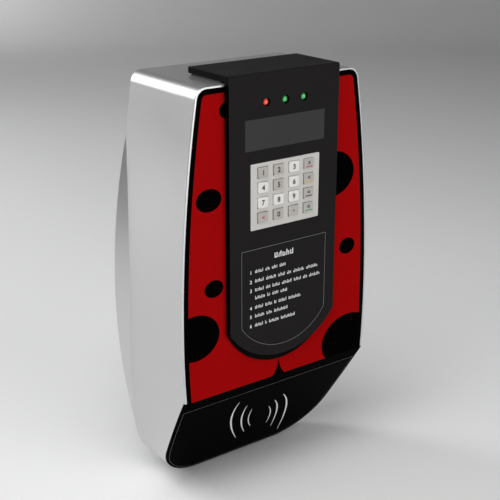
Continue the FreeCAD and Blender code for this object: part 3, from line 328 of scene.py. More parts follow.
BRASS = brushed("turned_brass", (0.72, 0.52, 0.22), (0.62, 0.44, 0.17), 0.28, (900.0, 30.0, 900.0))
SUPPLY = brushed("folded_aluminium", (0.62, 0.63, 0.64), (0.54, 0.55, 0.56), 0.38, (18.0, 900.0, 900.0))
# the plate and the keys take a painted highlight along their edges
KEYPAD_PLATE = brushed("keypad_satin_steel", (0.56, 0.545, 0.52), (0.44, 0.425, 0.40), 0.40,
                       (16.0, 900.0, 900.0), metallic=0.35, edge_highlight_colour=(0.95, 0.94, 0.93))
KEY_METAL = brushed("key_satin_alloy", (0.45, 0.43, 0.405), (0.33, 0.315, 0.295), 0.36,
                    (20.0, 900.0, 900.0), metallic=0.3, edge_highlight_colour=(0.90, 0.89, 0.88))
# painted light: a lighter copy of the key metal, for the caps on which light falls brighter
KEY_PAINTED_LIT = brushed("key_bright_alloy", (0.74, 0.73, 0.715), (0.60, 0.59, 0.575), 0.34,
                     (20.0, 900.0, 900.0), metallic=0.2, edge_highlight_colour=(0.97, 0.97, 0.97))
PAPER = coated("wound_ticket_paper", (0.80, 0.79, 0.74), (0.74, 0.73, 0.68), 0.8, grain_scale=500.0, bump=0.3)

give(CASING, "casing_shell")
give(BLACK_COAT, "front_panel", "chin_cover")
give(READER_GLOSS, "reader_window")
give(PANE, "display_window")
give(LABEL_FILM, "instruction_label")
give(DARK_PLASTIC, "display_module", "keypad_frame", "roll_spindle", "ticket_chute")
give(RUBBER, "cable_grommet", "door_seal", "platen_roller")
give(ZINC, "back_plate", "corner_blocks", "hinge_arms", "hinge_brackets", "lock_cam", "lock_striker",
     "roll_bracket", "printer_frame", "print_head")
give(SCREWS, "back_plate_screws", "hood_screws", "hinge_pins", "platen_axle")
give(LOCK_METAL, "lock_housing", "lock_nut", "lock_plug")
give(BRASS, "board_standoffs")
give(SUPPLY, "power_supply")
give(KEYPAD_PLATE, "keypad_plate")
give(PAPER, "paper_roll")
# painted light: these six caps take the lighter copy of the key metal, the others the darker one
PAINTED_LIT_KEYS = ("key_3", "key_4", "key_6", "key_7", "key_8", "key_9")
give(KEY_METAL, *[n for n in KEY_NAMES if n not in PAINTED_LIT_KEYS])
give(KEY_PAINTED_LIT, *PAINTED_LIT_KEYS)


HOOD_LOW, HOOD_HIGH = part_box("hood_cover")
LIT_GREY_FRONT = HOOD_LOW[1] + 0.0009     # where the painted lighter grey of the front ends, just behind the front face
LIT_GREY_TOP = HOOD_HIGH[2] - 0.0011      # where the painted lighter grey of the top ends, just under the top face
LIT_GREY_FADE = 0.0002


def make_hood_coat():
    """Black powder coat, with painted light: the front and top sheets are painted a lighter dark grey than
    the black sides, as more light falls on them, and their edges take a painted highlight.
    """
    material, tree, shader = new_material("hood_coat_and_painted_light", Specular_IOR_Level=0.03)
    grain = use_group(tree, GRAIN, Scale=1600.0)
    place = tree.nodes.new("ShaderNodeTexCoord")
    parts = tree.nodes.new("ShaderNodeSeparateXYZ")
    join(tree, place, "Object", parts, "Vector")
    front = scale_range(tree, parts.outputs["Y"], LIT_GREY_FRONT + LIT_GREY_FADE, LIT_GREY_FRONT - LIT_GREY_FADE, 0.0, 1.0)
    top = scale_range(tree, parts.outputs["Z"], LIT_GREY_TOP - LIT_GREY_FADE, LIT_GREY_TOP + LIT_GREY_FADE, 0.0, 1.0)
    # painted light: the grey laid on the front and the top, lighter than the black sides
    lit_grey = mix_colour(tree, grain.outputs["Mottle"], (0.0110, 0.0099, 0.0101, 1.0),
                      (0.0128, 0.0116, 0.0118, 1.0))
    # painted highlight: a paler grey along the edges of the front and the top
    wear_and_highlight = use_group(tree, EDGE_WEAR_AND_HIGHLIGHT)
    lit_grey = mix_colour(tree, wear_and_highlight.outputs["Mask"], lit_grey, (0.030, 0.029, 0.029, 1.0))
    shade = mix_colour(tree, math_node(tree, "MAXIMUM", front, top), (0.0007, 0.0006, 0.0006, 1.0), lit_grey)
    tree.links.new(shade, shader.inputs["Base Color"])
    drifting_gloss(tree, shader, grain.outputs["Mottle"], 0.46, 0.55)
    add_bump(tree, shader, grain.outputs["Height"], 0.25, COAT_BUMP_DEPTH)
    return material


give(make_hood_coat(), "hood_cover")

# the black spots printed on the red wings: (x, z, half width, half height) in metres
SPOTS = {
    "left_wing": ((-0.0782, 0.2451, 0.0120, 0.0100), (-0.1060, 0.1409, 0.0181, 0.0141),
                  (-0.1000, 0.0284, 0.0139, 0.0112), (-0.1287, -0.0305, 0.0360, 0.0302)),
    "right_wing": ((0.1123, 0.0396, 0.0132, 0.0111), (0.0833, 0.1415, 0.0365, 0.0300),
                   (0.1180, -0.0957, 0.0450, 0.0370)),
}


def make_red_wing(name, spots):
    """Red satin print with black spots."""
    material, tree, shader = new_material(name, Specular_IOR_Level=0.003)
    grain = use_group(tree, GRAIN, Scale=1800.0)
    shade = mix_colour(tree, grain.outputs["Mottle"], (0.27, 0.0020, 0.0024, 1.0),
                       (0.29, 0.0026, 0.0030, 1.0))
    covered = None
    for x, z, half_width, half_height in spots:
        spot = use_group(tree, SPOT, Centre=(x, 0.0, z), Half_Sizes=(half_width, 100.0, half_height))
        mask = spot.outputs["Mask"]
        covered = mask if covered is None else math_node(tree, "MAXIMUM", covered, mask)
    shade = mix_colour(tree, covered, shade, (0.0006, 0.0005, 0.0005, 1.0))
    tree.links.new(shade, shader.inputs["Base Color"])
    drifting_gloss(tree, shader, grain.outputs["Mottle"], 0.52, 0.60)
    add_bump(tree, shader, grain.outputs["Height"], 0.15, 0.00003)
    return material


for wing, spots in SPOTS.items():
    give(make_red_wing(wing + "_red_print", spots), wing)


def make_board():
    """Circuit board green with traces: thin lines of a brick pattern under the film."""
    material, tree, shader = new_material("circuit_board_green", Coat_Weight=0.5, Coat_Roughness=0.15)
    place = tree.nodes.new("ShaderNodeTexCoord")
    swap = tree.nodes.new("ShaderNodeMapping")
    swap.inputs["Rotation"].default_value = (math.pi / 2, 0.0, 0.0)
    join(tree, place, "Object", swap, "Vector")
    bricks = add_node(tree, "ShaderNodeTexBrick", Scale=150.0, Mortar_Size=0.06, Brick_Width=1.3,
                      Row_Height=0.35, Color1=(0.010, 0.075, 0.028, 1.0), Color2=(0.012, 0.09, 0.034, 1.0),
                      Mortar=(0.03, 0.16, 0.06, 1.0))
    join(tree, swap, "Vector", bricks, "Vector")
    grain = use_group(tree, GRAIN, Scale=900.0)
    tree.links.new(bricks.outputs["Color"], shader.inputs["Base Color"])
    drifting_gloss(tree, shader, grain.outputs["Mottle"], 0.32, 0.42)
    add_bump(tree, shader, bricks.outputs["Fac"], 0.2, 0.00005)
    return material


BOARD = make_board()
give(BOARD, "reader_antenna", "lamp_board", "keypad_board", "controller_board")


def make_lens(name, deep, pale, glow):
    """A coloured lamp lens: pale where it faces the eye, deep round its rim, and lit a little."""
    material, tree, shader = new_material(name, Roughness=0.18, Coat_Weight=0.6, Coat_Roughness=0.06,
                                          Emission_Strength=glow)
    rim = add_node(tree, "ShaderNodeLayerWeight", Blend=0.35)
    grain = use_group(tree, GRAIN, Scale=600.0)
    facing = mix_colour(tree, rim.outputs["Facing"], pale + (1.0,), deep + (1.0,))
    mottle = math_node(tree, "MULTIPLY", grain.outputs["Mottle"], 0.15)
    shade = mix_colour(tree, mottle, facing, deep + (1.0,))
    tree.links.new(shade, shader.inputs["Base Color"])
    tree.links.new(shade, shader.inputs["Emission Color"])
    return material


give(make_lens("red_lamp_lens", (0.42, 0.012, 0.006), (0.90, 0.095, 0.045), 0.22), "lamp_red")
GREEN_LENS = make_lens("green_lamp_lens", (0.01, 0.16, 0.025), (0.06, 0.50, 0.12), 0.2)
give(GREEN_LENS, "lamp_green_middle", "lamp_green_right")


# ---------------------------------------------------------------- new pieces
INK = coated("dark_key_ink", (0.02, 0.02, 0.02), (0.03, 0.03, 0.03), 0.6, bump=0.05)
WHITE_INK = coated("white_screen_ink", (0.72, 0.72, 0.72), (0.64, 0.64, 0.64), 0.6, bump=0.05)
# grey print on the label's outline, and the painted highlight round the reader window
GREY_INK_AND_HIGHLIGHT = coated("grey_ink_and_painted_highlight", (0.16, 0.16, 0.16), (0.13, 0.13, 0.13), 0.6, bump=0.05)
RED_INK = coated("red_key_ink", (0.45, 0.03, 0.03), (0.38, 0.03, 0.03), 0.55, bump=0.05)
YELLOW_INK = coated("yellow_key_ink", (0.60, 0.38, 0.06), (0.52, 0.33, 0.05), 0.55, bump=0.05)
GREEN_INK = coated("green_key_ink", (0.03, 0.28, 0.12), (0.03, 0.24, 0.10), 0.55, bump=0.05)

INK_SINK = 0.00002        # print reaches this far under its surface, so that no gap shows
PRINT_THICK = 0.00008     # and stands this far above it


def tube_faces(rows, around):
    """Faces over rows of rings of around points: four-sided between rings, with a cap on each end."""
    row = np.arange(rows - 1)[:, None] * around
    point = np.arange(around)[None, :]
    after = (point + 1) % around
    sides = np.stack([row + point, row + after, row + around + after, row + around + point], axis=2)
    last = (rows - 1) * around
    return sides.reshape(-1, 4).tolist() + [list(range(around))[::-1], list(range(last, last + around))]


def directions(path):
    """The way that a path runs at each of its points, as unit vectors."""
    along = np.gradient(path, axis=0)
    return along / np.linalg.norm(along, axis=1, keepdims=True)


def ink_strip(path, widths, thick, normal):
    """Ink along a path, in three coordinates: at each point a rectangle across the path,
    as wide as widths says and thick high, standing on the surface whose normal is given."""
    path = np.asarray(path, float)
    normal = np.asarray(normal, float) / np.linalg.norm(normal)
    across = np.cross(directions(path), normal)
    half = across * (np.asarray(widths, float)[:, None] / 2)
    low = path - normal * INK_SINK
    high = path + normal * thick
    rings = np.stack([low - half, low + half, high + half, high - half], axis=1)
    return rings.reshape(-1, 3), tube_faces(len(path), 4)


def merge_parts(parts):
    """Several (vertices, faces) as one."""
    verts, faces, base = [], [], 0
    for part_verts, part_faces in parts:
        verts.append(part_verts)
        faces += [[base + i for i in face] for face in part_faces]
        base += len(part_verts)
    return np.concatenate(verts), faces


def new_piece(name, verts, faces, material, body, slot, smooth=False):
    """A mesh of this material that moves with a body; slot is not used."""
    mesh = bpy.data.meshes.new(name)
    mesh.from_pydata(np.asarray(verts).tolist(), [], faces)
    mesh.materials.append(material)
    mesh.update()
    if smooth:
        mesh.polygons.foreach_set("use_smooth", [True] * len(mesh.polygons))
    piece = bpy.data.objects.new(name, mesh)
    scene.collection.objects.link(piece)
    fix_normals(mesh)
    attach(piece, body)


def fix_normals(mesh):
    """Turn every face outwards."""
    work = bmesh.new()
    work.from_mesh(mesh)
    bmesh.ops.recalc_face_normals(work, faces=work.faces)
    work.to_mesh(mesh)
    work.free()


# the chin's face: its crease with the front, the way down it, and the way out of it
CREASE = np.array([0.0, -0.1425, -0.115])
CHIN_TILT = math.radians(31.5)
DOWN_SLOPE = np.array([0.0, math.sin(CHIN_TILT), -math.cos(CHIN_TILT)])
CHIN_NORMAL = np.array([0.0, -math.cos(CHIN_TILT), -math.sin(CHIN_TILT)])
WAVE_THICK = 0.00012
# strokes of the contactless mark, three each side: top, middle and bottom as (across, down from
# the crease), then the greatest width, in mm
WAVES = (
    ((-46.3, 43.3), (-43.8, 88.2), (-15.0, 146.0), 2.6),
    ((-27.7, 60.5), (-23.6, 96.4), (-4.3, 136.4), 2.3),
    ((-13.4, 76.0), (-10.2, 101.0), (2.6, 126.1), 1.6),
    ((18.6, 84.8), (30.1, 107.9), (33.0, 133.9), 1.6),
    ((23.7, 72.6), (40.1, 103.4), (47.8, 149.7), 2.3),
    ((35.0, 63.9), (57.2, 104.9), (67.4, 168.3), 2.6),
)


def on_chin(flat):
    """Points given as across and down from the crease, put in place on the chin's face."""
    return CREASE + flat[:, :1] * np.array([1.0, 0.0, 0.0]) + flat[:, 1:] * DOWN_SLOPE


def wave_strip(top, middle, bottom, width):
    """A bow through three points on the chin: a quadratic in the share of its length, and a
    width that follows a half sine from a thin end to the middle and back."""
    share = np.linspace(0.0, 1.0, 41)
    first, halfway, last = (np.array(point) / 1000.0 for point in (top, middle, bottom))
    control = 2 * halfway - (first + last) / 2
    flat = (np.outer((1 - share) ** 2, first) + np.outer(2 * share * (1 - share), control)
            + np.outer(share ** 2, last))
    widths = (0.30 + 0.70 * np.sin(math.pi * share)) * width / 1000.0
    return ink_strip(on_chin(flat), widths, WAVE_THICK, CHIN_NORMAL)


new_piece("contactless_mark", *merge_parts([wave_strip(*w) for w in WAVES]), WHITE_INK, "casing",
          "black_gloss")

# the label: a fine outline, a title and six numbered lines of strokes
FACE_LOW, FACE_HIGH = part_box("instruction_label")
FACE_Y = FACE_LOW[1]
FACE_NORMAL = (0.0, -1.0, 0.0)
OUTLINE_INSET = 0.0006        # from the label's edge to the line
OUTLINE_WIDTH = 0.00048
SIDE_END = -0.0305            # level where the line's straight sides meet its arc
ARC_DROP = 0.0355             # from there down to the arc's lowest point


def face_path(points):
    """Points given as across and up, put in place on the label's face."""
    points = np.asarray(points)
    return np.column_stack([points[:, 0], np.full(len(points), FACE_Y), points[:, 1]])


def label_outline():
    """Straight sides and a straight top, a little inside the label's edge, and below them an arc
    through both sides' ends. Each of its runs is one strip, broken at the corners."""
    half = FACE_HIGH[0] - OUTLINE_INSET
    top = FACE_HIGH[2] - OUTLINE_INSET
    radius = (half ** 2 + ARC_DROP ** 2) / (2 * ARC_DROP)
    spread = math.asin(half / radius)
    turn = np.linspace(-spread, spread, 73)
    bow = np.stack([radius * np.sin(turn), SIDE_END - ARC_DROP + radius * (1 - np.cos(turn))], axis=1)
    left_corner, right_corner, top_middle = (-half, top), (half, top), (0.0, top)
    straights = ((top_middle, left_corner), (left_corner, bow[0]), (bow[-1], right_corner),
                 (right_corner, top_middle))
    runs = [bow] + [np.linspace(start, end, 3) for start, end in straights]
    return merge_parts([ink_strip(face_path(run), np.full(len(run), OUTLINE_WIDTH), PRINT_THICK, FACE_NORMAL)
                        for run in runs])


new_piece("label_outline", *label_outline(), GREY_INK_AND_HIGHLIGHT, "door", "dark_label")


def glyph_mesh(text, size, depth, place, bold):
    """A digit or sign as a thin solid that faces the user; its middle is at place."""
    letters = bpy.data.curves.new("glyph", "FONT")
    letters.body = text
    letters.size = size
    letters.align_x = "CENTER"
    letters.align_y = "CENTER"
    letters.extrude = depth / 2
    letters.offset = bold
    letters.resolution_u = 4
    holder = bpy.data.objects.new("glyph", letters)
    scene.collection.objects.link(holder)
    bpy.context.view_layer.update()
    mesh = bpy.data.meshes.new_from_object(holder)
    bpy.data.objects.remove(holder)
    count = len(mesh.vertices)
    flat = np.zeros(count * 3)
    mesh.vertices.foreach_get("co", flat)
    flat = flat.reshape(-1, 3)
    flat[:, :2] -= (flat[:, :2].min(0) + flat[:, :2].max(0)) / 2
    verts = np.stack([flat[:, 0] + place[0], place[1] - flat[:, 2], flat[:, 1] + place[2]], axis=1)
    faces = [list(face.vertices) for face in mesh.polygons]
    bpy.data.meshes.remove(mesh)
    return verts, faces


BAR_THICK = 0.00006


def bar(x_low, x_high, z, height, y):
    """A flat bar with rounded ends: its half height follows a quarter circle at each end."""
    radius = height / 2
    turn = np.linspace(0.0, math.pi / 2, 7)
    start = x_low + radius * (1 - np.cos(turn))
    end = x_high - radius * (1 - np.cos(turn))[::-1]
    xs = np.concatenate([start, end])
    half = np.concatenate([np.sin(turn), np.sin(turn)[::-1]])
    path = np.stack([xs, np.full(len(xs), y), np.full(len(xs), z)], axis=1)
    return ink_strip(path, np.maximum(half * height, height * 0.02), BAR_THICK, FACE_NORMAL)


def upright(x, low, high, width, y):
    """One stroke of print, from low to high, with its ends drawn in over a quarter of its width."""
    levels = np.array([low, low + width / 4, high - width / 4, high])
    path = np.stack([np.full(4, x), np.full(4, y), levels], axis=1)
    return ink_strip(path, np.array([0.5, 1.0, 1.0, 0.5]) * width, PRINT_THICK, FACE_NORMAL)


def word_marks(start, end, level, height, pitch, phase):
    """A word as upright strokes, tied in pairs at the head or the foot. Stroke n is as tall as
    height (1 + 0.3 sin(2.3 n + phase)), so it looks like print but spells nothing."""
    parts = []
    count = max(2, int(round((end - start) / pitch)))
    step = (end - start) / count
    foot = level - height / 2
    for n in range(count):
        x = start + (n + 0.5) * step
        tall = height * (1.0 + 0.3 * math.sin(2.3 * n + phase))
        parts.append(upright(x, foot, foot + tall, step * 0.44, FACE_Y))
        if n % 2:
            tie = foot + (0.12 if n % 4 == 1 else 0.80) * height
            parts.append(bar(x - step, x, tie, height * 0.18, FACE_Y))
    return parts


# rows of the label: number, level of the row's middle, then the words' starts and ends, in mm
LABEL_ROWS = (
    ("1", 41.4, ((-46, -33), (-30, -23), (-20, -11), (-8, 2))),
    ("2", 29.0, ((-46, -32), (-29, -13), (-10, 1), (4, 11), (14, 32), (35, 54))),
    ("3", 17.2, ((-46, -32), (-29, -22), (-19, -7), (-4, 12), (15, 27), (30, 37), (40, 58))),
    ("", 6.6, ((-46, -30), (-27, -22), (-19, -9), (-6, 5))),
    ("4", -6.0, ((-46, -33), (-30, -19), (-16, -12), (-9, 4), (7, 27))),
    ("5", -17.8, ((-46, -31), (-28, -19), (-16, 6))),
    ("6", -30.2, ((-46, -33), (-30, -27), (-24, -8), (-5, 18))),
)
ROW_HEIGHT, ROW_PITCH = 0.0036, 0.0019
TITLE_START, TITLE_END, TITLE_LEVEL = -0.0165, 0.0145, 0.0562
TITLE_HEIGHT, TITLE_PITCH, TITLE_PHASE = 0.0062, 0.0030, 0.4
NUMBER_ACROSS, NUMBER_SIZE, NUMBER_BOLD = -0.0520, 0.0062, 0.00012


def label_print():
    """The title, then each row: its number, if it has one, and its words."""
    parts = word_marks(TITLE_START, TITLE_END, TITLE_LEVEL, TITLE_HEIGHT, TITLE_PITCH, TITLE_PHASE)
    for digit, level, words in LABEL_ROWS:
        level = level / 1000.0
        if digit:
            place = (NUMBER_ACROSS, FACE_Y - PRINT_THICK / 2, level)
            parts.append(glyph_mesh(digit, NUMBER_SIZE, PRINT_THICK, place, NUMBER_BOLD))
        for word_start, word_end in words:
            parts += word_marks(word_start / 1000.0, word_end / 1000.0, level, ROW_HEIGHT, ROW_PITCH,
                                word_start + 0.7 * word_end)
    return merge_parts(parts)


new_piece("label_print", *label_print(), WHITE_INK, "door", "dark_label")

# key legends: what is printed on each cap, and the colour of the bar under it
DIGITS = {"key_%d" % n: str(n) for n in range(10)}
SIGNS = {"key_point": ".", "key_clear": "<", "key_function_1": "x", "key_function_2": "<",
         "key_function_3": "=", "key_function_4": "o"}
BARS = {"key_function_1": RED_INK, "key_function_2": YELLOW_INK, "key_function_3": INK,
        "key_function_4": GREEN_INK}


LEGEND_THICK = 0.0001
LEGEND_OUT = 0.00003          # the middle of the print's thickness, out from the cap's face
DIGIT_SIZE, DIGIT_BOLD = 0.0088, 0.00032
SIGN_SIZE, SIGN_BOLD = 0.0078, 0.00028
POINT_SIZE = 0.0150           # the point is set large, because its mark is only a dot
SIGN_RISE = 0.0012            # for a sign that shares its cap with a bar
BAR_HALF, BAR_DROP, BAR_HEIGHT = 0.0052, 0.0036, 0.0014


def key_legend(name):
    """A digit, or a sign that may have a coloured bar under it, in the middle of a cap's face."""
    low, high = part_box(name)
    middle_x, middle_z = (low[0] + high[0]) / 2, (low[2] + high[2]) / 2
    face = low[1]
    body = name + "_cap"
    if name in DIGITS:
        place = (middle_x, face - LEGEND_OUT, middle_z)
        verts, faces = glyph_mesh(DIGITS[name], DIGIT_SIZE, LEGEND_THICK, place, DIGIT_BOLD)
        new_piece(name + "_digit", verts, faces, INK, body, "keypad_keys")
        return
    rise = SIGN_RISE if name in BARS else 0.0
    ink = RED_INK if name == "key_clear" else INK
    size = POINT_SIZE if name == "key_point" else SIGN_SIZE
    place = (middle_x, face - LEGEND_OUT, middle_z + rise)
    verts, faces = glyph_mesh(SIGNS[name], size, LEGEND_THICK, place, SIGN_BOLD)
    new_piece(name + "_sign", verts, faces, ink, body, "keypad_keys")
    if name in BARS:
        verts, faces = bar(middle_x - BAR_HALF, middle_x + BAR_HALF, middle_z - BAR_DROP, BAR_HEIGHT, face)
        new_piece(name + "_bar", verts, faces, BARS[name], body, "keypad_keys")


for key in KEY_NAMES:
    key_legend(key)


# a painted highlight: the fine bright line round the reader window, where its edge meets the chin, stands in
# for light caught on that edge
READER_HIGHLIGHT_WIDTH, READER_HIGHLIGHT_THICK = 0.00035, 0.00005
FACE_DEPTH = 0.00002          # points this near the outermost level count as the face
LEAST_STEP = 0.0003           # points nearer than this to the one before are left out
SHARP_BEND = 0.94             # cosine of the turn at which the line breaks


def face_outline(name, normal):
    """The corner points of a flat plate's outer face, in order round its middle."""
    mesh = NODES[name].data
    flat = np.empty(len(mesh.vertices) * 3)
    mesh.vertices.foreach_get("co", flat)
    points = flat.reshape(-1, 3)
    height = points @ normal
    face = points[height > height.max() - FACE_DEPTH]
    middle = face.mean(axis=0)
    sideways = np.cross(normal, (1.0, 0.0, 0.0))
    turn = np.arctan2((face - middle) @ sideways, (face - middle)[:, 0])
    ring = face[np.argsort(turn)]
    apart = np.linalg.norm(ring - np.roll(ring, 1, axis=0), axis=1) > LEAST_STEP
    return ring[apart]


def reader_line():
    """A painted highlight round the reader window: the outline as runs that break at its sharp corners, each
    run a strip of even width.
    """
    ring = face_outline("reader_window", CHIN_NORMAL)
    ahead = np.roll(ring, -1, axis=0) - ring
    ahead /= np.linalg.norm(ahead, axis=1, keepdims=True)
    bend = np.einsum("ij,ij->i", ahead, np.roll(ahead, 1, axis=0))
    start = int(np.argmin(bend))
    ring, bend = np.roll(ring, -start, axis=0), np.roll(bend, -start)
    ring, bend = np.vstack([ring, ring[:1]]), np.append(bend, -1.0)
    parts, first = [], 0
    for index in range(1, len(ring)):
        if bend[index] < SHARP_BEND:
            run = ring[first:index + 1]
            widths = np.full(len(run), READER_HIGHLIGHT_WIDTH)
            parts.append(ink_strip(run, widths, READER_HIGHLIGHT_THICK, CHIN_NORMAL))
            first = index
    return merge_parts(parts)


# painted highlight: a pale grey strip on the reader window's edge
new_piece("reader_edge_painted_highlight", *reader_line(), GREY_INK_AND_HIGHLIGHT, "casing", "black_gloss")


def bead(path, half_width, height):
    """A soft half-round strip on a level surface: across the path it is
    (half_width cos t, height sin t) for t from 0 to pi, closed underneath."""
    path = np.asarray(path, float)
    up = np.array([0.0, 0.0, 1.0])
    across = np.cross(directions(path), up)
    turn = np.linspace(0.0, math.pi, 13)
    rings = (path[:, None, :] + across[:, None, :] * (half_width * np.cos(turn))[None, :, None]
             + up * (height * np.sin(turn))[None, :, None])
    return rings.reshape(-1, 3), tube_faces(len(path), len(turn))


HOOD_RISE = 0.0100        # from the casing's top to the hood's
SEAL_INSET = 0.0022       # from the hood's side and back to the strip's middle
SEAL_CORNER = 0.006
SEAL_START = 0.0165       # from the hood's front to the strip's front ends
SEAL_HALF_WIDTH, SEAL_HEIGHT = 0.0020, 0.0024


def lip_seal_path():
    """Along the casing's top, a little inside the hood's lip: two sides and the back, with a
    quarter circle at each back corner."""
    right, back = HOOD_HIGH[0] - SEAL_INSET, HOOD_HIGH[1] - SEAL_INSET
    front = HOOD_LOW[1] + SEAL_START
    level = HOOD_HIGH[2] - HOOD_RISE
    turn = np.linspace(0.0, math.pi / 2, 9)
    bend = np.stack([right - SEAL_CORNER * (1 - np.cos(turn)), back - SEAL_CORNER * (1 - np.sin(turn))],
                    axis=1)
    depths = np.linspace(front, back - SEAL_CORNER, 12, endpoint=False)
    side = np.stack([np.full(len(depths), right), depths], axis=1)
    half = np.vstack([side, bend])
    both = np.vstack([half, (half * (-1.0, 1.0))[::-1]])
    return np.column_stack([both, np.full(len(both), level)])


new_piece("lip_seal", *bead(lip_seal_path(), SEAL_HALF_WIDTH, SEAL_HEIGHT), RUBBER, "casing",
          "black_rubber", smooth=True)


# inside the casing
WINDING_INK = coated("winding_edge_grey", (0.42, 0.41, 0.38), (0.36, 0.35, 0.32), 0.8, bump=0.05)
CAN_SLEEVE = coated("capacitor_sleeve", (0.012, 0.014, 0.03), (0.016, 0.018, 0.036), 0.35, bump=0.05)


SPIRAL_START, SPIRAL_PITCH, SPIRAL_TURNS = 0.008, 0.0013, 20.0
SPIRAL_WIDTH, SPIRAL_THICK = 0.00028, 0.00004


def winding_spiral(side):
    """The paper's edge on one end of the roll: its radius grows by the same pitch at each turn."""
    low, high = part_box("paper_roll")
    middle_y, middle_z = (low[1] + high[1]) / 2, (low[2] + high[2]) / 2
    end = high[0] if side > 0 else low[0]
    turn = np.linspace(0.0, SPIRAL_TURNS, 1001)
    radius = SPIRAL_START + SPIRAL_PITCH * turn
    path = np.stack([np.full(len(turn), end), middle_y + radius * np.cos(2 * math.pi * turn),
                     middle_z + radius * np.sin(2 * math.pi * turn)], axis=1)
    return ink_strip(path, np.full(len(turn), SPIRAL_WIDTH), SPIRAL_THICK, (side, 0.0, 0.0))


new_piece("paper_winding", *merge_parts([winding_spiral(-1), winding_spiral(1)]), WINDING_INK, "roll",
          "ticket_paper")

BOARD_LOW, BOARD_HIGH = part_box("controller_board")
CARD_THICK = 0.0016
CARD_FACE = BOARD_HIGH[1] - CARD_THICK
BOARD_LEVEL = (BOARD_LOW[2] + BOARD_HIGH[2]) / 2
# capacitors on the controller board: across, up from the middle, radius and height, in mm
CANS = ((26, 4, 4.0, 9.0), (36, 4, 4.0, 9.0), (26, -10, 4.0, 9.0), (36, -10, 4.0, 9.0),
        (-68, 20, 5.0, 12.0), (-68, 33, 5.0, 12.0), (6, -8, 3.0, 6.0), (-4, -8, 3.0, 6.0))


def turned(centre, profile):
    """A shape turned about a line along Y: profile is (radius, distance out of the card)."""
    turn = np.linspace(0.0, 2 * math.pi, 24, endpoint=False)
    radius, out = np.array(profile).T[:, :, None]
    depth = np.repeat(centre[1] - out, len(turn), axis=1)
    rings = np.stack([centre[0] + radius * np.cos(turn), depth, centre[2] + radius * np.sin(turn)], axis=2)
    return rings.reshape(-1, 3), tube_faces(len(profile), len(turn))


def capacitor(across, up, radius, height):
    """A can with a rolled groove near its foot, a rounded shoulder and a shallow dish on top."""
    r, h = radius / 1000.0, height / 1000.0
    profile = [(r, -INK_SINK), (r, h * 0.12), (r * 0.9, h * 0.16), (r, h * 0.20), (r, h * 0.92),
               (r * 0.96, h * 0.98), (r * 0.86, h), (r * 0.80, h * 0.985), (r * 0.2, h * 0.98)]
    return turned((across / 1000.0, CARD_FACE, BOARD_LEVEL + up / 1000.0), profile)


new_piece("board_capacitors", *merge_parts([capacitor(*can) for can in CANS]), CAN_SLEEVE, "casing",
          "circuit_board", smooth=True)


# the large square chip, and the bend of its legs as (out from its side, above the card)
CHIP_ACROSS, CHIP_LEVEL, CHIP_HALF = -0.040, BOARD_LEVEL + 0.020, 0.014
LEG_BEND = np.array([(0.0, 0.0016), (0.0008, 0.0016), (0.0012, 0.0002), (0.0022, 0.0002)])
LEG_COUNT, LEG_PITCH, LEG_WIDTH, LEG_THICK = 10, 0.0025, 0.0009, 0.0002


def chip_legs():
    """Bent legs along each side of the chip: out, down, and out again on to the card."""
    parts = []
    depth = CARD_FACE - LEG_BEND[:, 1]
    out = CHIP_HALF + LEG_BEND[:, 0]
    for n in range(LEG_COUNT):
        slide = np.full(len(out), (n - (LEG_COUNT - 1) / 2) * LEG_PITCH)
        for side in (-1, 1):
            for across, up in ((side * out, slide), (slide, side * out)):
                path = np.stack([CHIP_ACROSS + across, depth, CHIP_LEVEL + up], axis=1)
                parts.append(ink_strip(path, np.full(len(path), LEG_WIDTH), LEG_THICK, FACE_NORMAL))
    return merge_parts(parts)


new_piece("chip_legs", *chip_legs(), SCREWS, "casing", "circuit_board")


VENT_COUNT, VENT_HALF, VENT_WIDTH = 14, 0.013, 0.0028
VENT_ROWS = (0.30, 0.70)      # share of the supply's height


def supply_vents():
    """Two rows of upright slots over the supply's front, shown as dark inlays."""
    low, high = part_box("power_supply")
    parts = []
    pitch = (high[0] - low[0]) / (VENT_COUNT + 2)
    for row in VENT_ROWS:
        level = low[2] + row * (high[2] - low[2])
        for n in range(VENT_COUNT):
            x = low[0] + (n + 1.5) * pitch
            parts.append(upright(x, level - VENT_HALF, level + VENT_HALF, VENT_WIDTH, low[1]))
    return merge_parts(parts)


new_piece("supply_vents", *supply_vents(), INK, "casing", "supply_case")


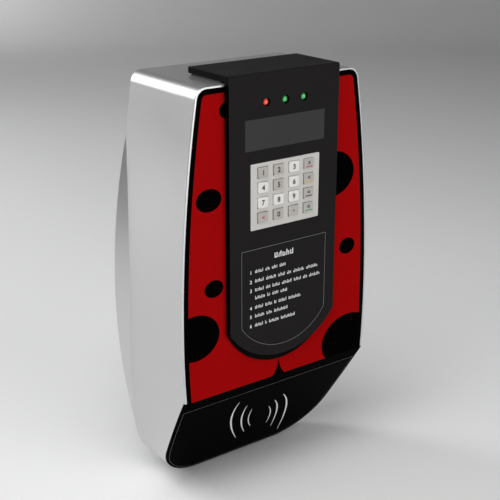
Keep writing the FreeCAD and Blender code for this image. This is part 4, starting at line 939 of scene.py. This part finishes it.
# ---------------------------------------------------------------- floor and light
def make_backdrop():
    """Pale floor that curves up into a wall far behind: flat, then a quarter circle, then upright."""
    floor_level = cad_box[0][2] - 0.003
    near_edge, reach, radius, height, half_width = -4.0, 3.6, 1.6, 5.0, 9.0
    turn = np.linspace(0.0, math.pi / 2, 33)
    profile = [(near_edge, 0.0)]
    profile += [(reach + radius * math.sin(t), radius * (1 - math.cos(t))) for t in turn]
    profile.append((reach + radius, height))
    away = np.array([0.5924, 0.8056])      # level, from the object towards the wall
    side = np.array([0.8056, -0.5924])
    verts = []
    for distance, rise in profile:
        for edge in (-half_width, half_width):
            ground = away * distance + side * edge
            verts.append((ground[0], ground[1], floor_level + rise))
    faces = [[2 * row, 2 * row + 1, 2 * row + 3, 2 * row + 2] for row in range(len(profile) - 1)]
    mesh = bpy.data.meshes.new("studio_floor")
    mesh.from_pydata(verts, [], faces)
    mesh.polygons.foreach_set("use_smooth", [True] * len(mesh.polygons))
    floor = bpy.data.objects.new("studio_floor", mesh)
    scene.collection.objects.link(floor)
    material, _, _ = new_material("pale_studio_floor", Roughness=0.9, Base_Color=(0.82, 0.82, 0.82, 1.0))
    mesh.materials.append(material)


def aim(obj, target):
    """Turn a light towards a point."""
    obj.rotation_euler = (Vector(target) - obj.location).to_track_quat("-Z", "Y").to_euler()


def add_light(name, place, target, size, power, size_y=None):
    """A square area light, or a rectangular one if size_y is given."""
    data = bpy.data.lights.new(name, "AREA")
    data.energy = power
    data.size = size
    if size_y:
        data.shape = "RECTANGLE"
        data.size_y = size_y
    lamp = bpy.data.objects.new(name, data)
    lamp.location = place
    scene.collection.objects.link(lamp)
    aim(lamp, target)


def make_world(strength):
    """Even, faint light from all round."""
    world = bpy.data.worlds.new("studio_air")
    world.use_nodes = True
    world.node_tree.nodes["Background"].inputs["Color"].default_value = (0.9, 0.92, 0.95, 1.0)
    world.node_tree.nodes["Background"].inputs["Strength"].default_value = strength
    scene.world = world


make_backdrop()
make_world(0.06)
add_light("overhead_softbox", (-1.35, -0.85, 2.3), (-0.45, -0.1, -0.28), 2.2, 70.0)
add_light("front_softbox", (0.7, -3.0, 0.45), (0.0, 0.0, 0.0), 1.6, 46.0)
add_light("rear_strip", (-1.1, 2.4, 1.75), (0.0, 0.0, 0.2), 0.6, 22.0, size_y=1.8)
add_light("rear_floor_softbox", (-1.8, 2.6, 1.0), (-1.65, 2.4, -0.28), 0.7, 34.0)
add_light("far_wall_softbox", (0.9, 4.3, 0.9), (1.7, 4.9, -0.1), 0.6, 7.0)
scene.view_settings.view_transform = "Standard"
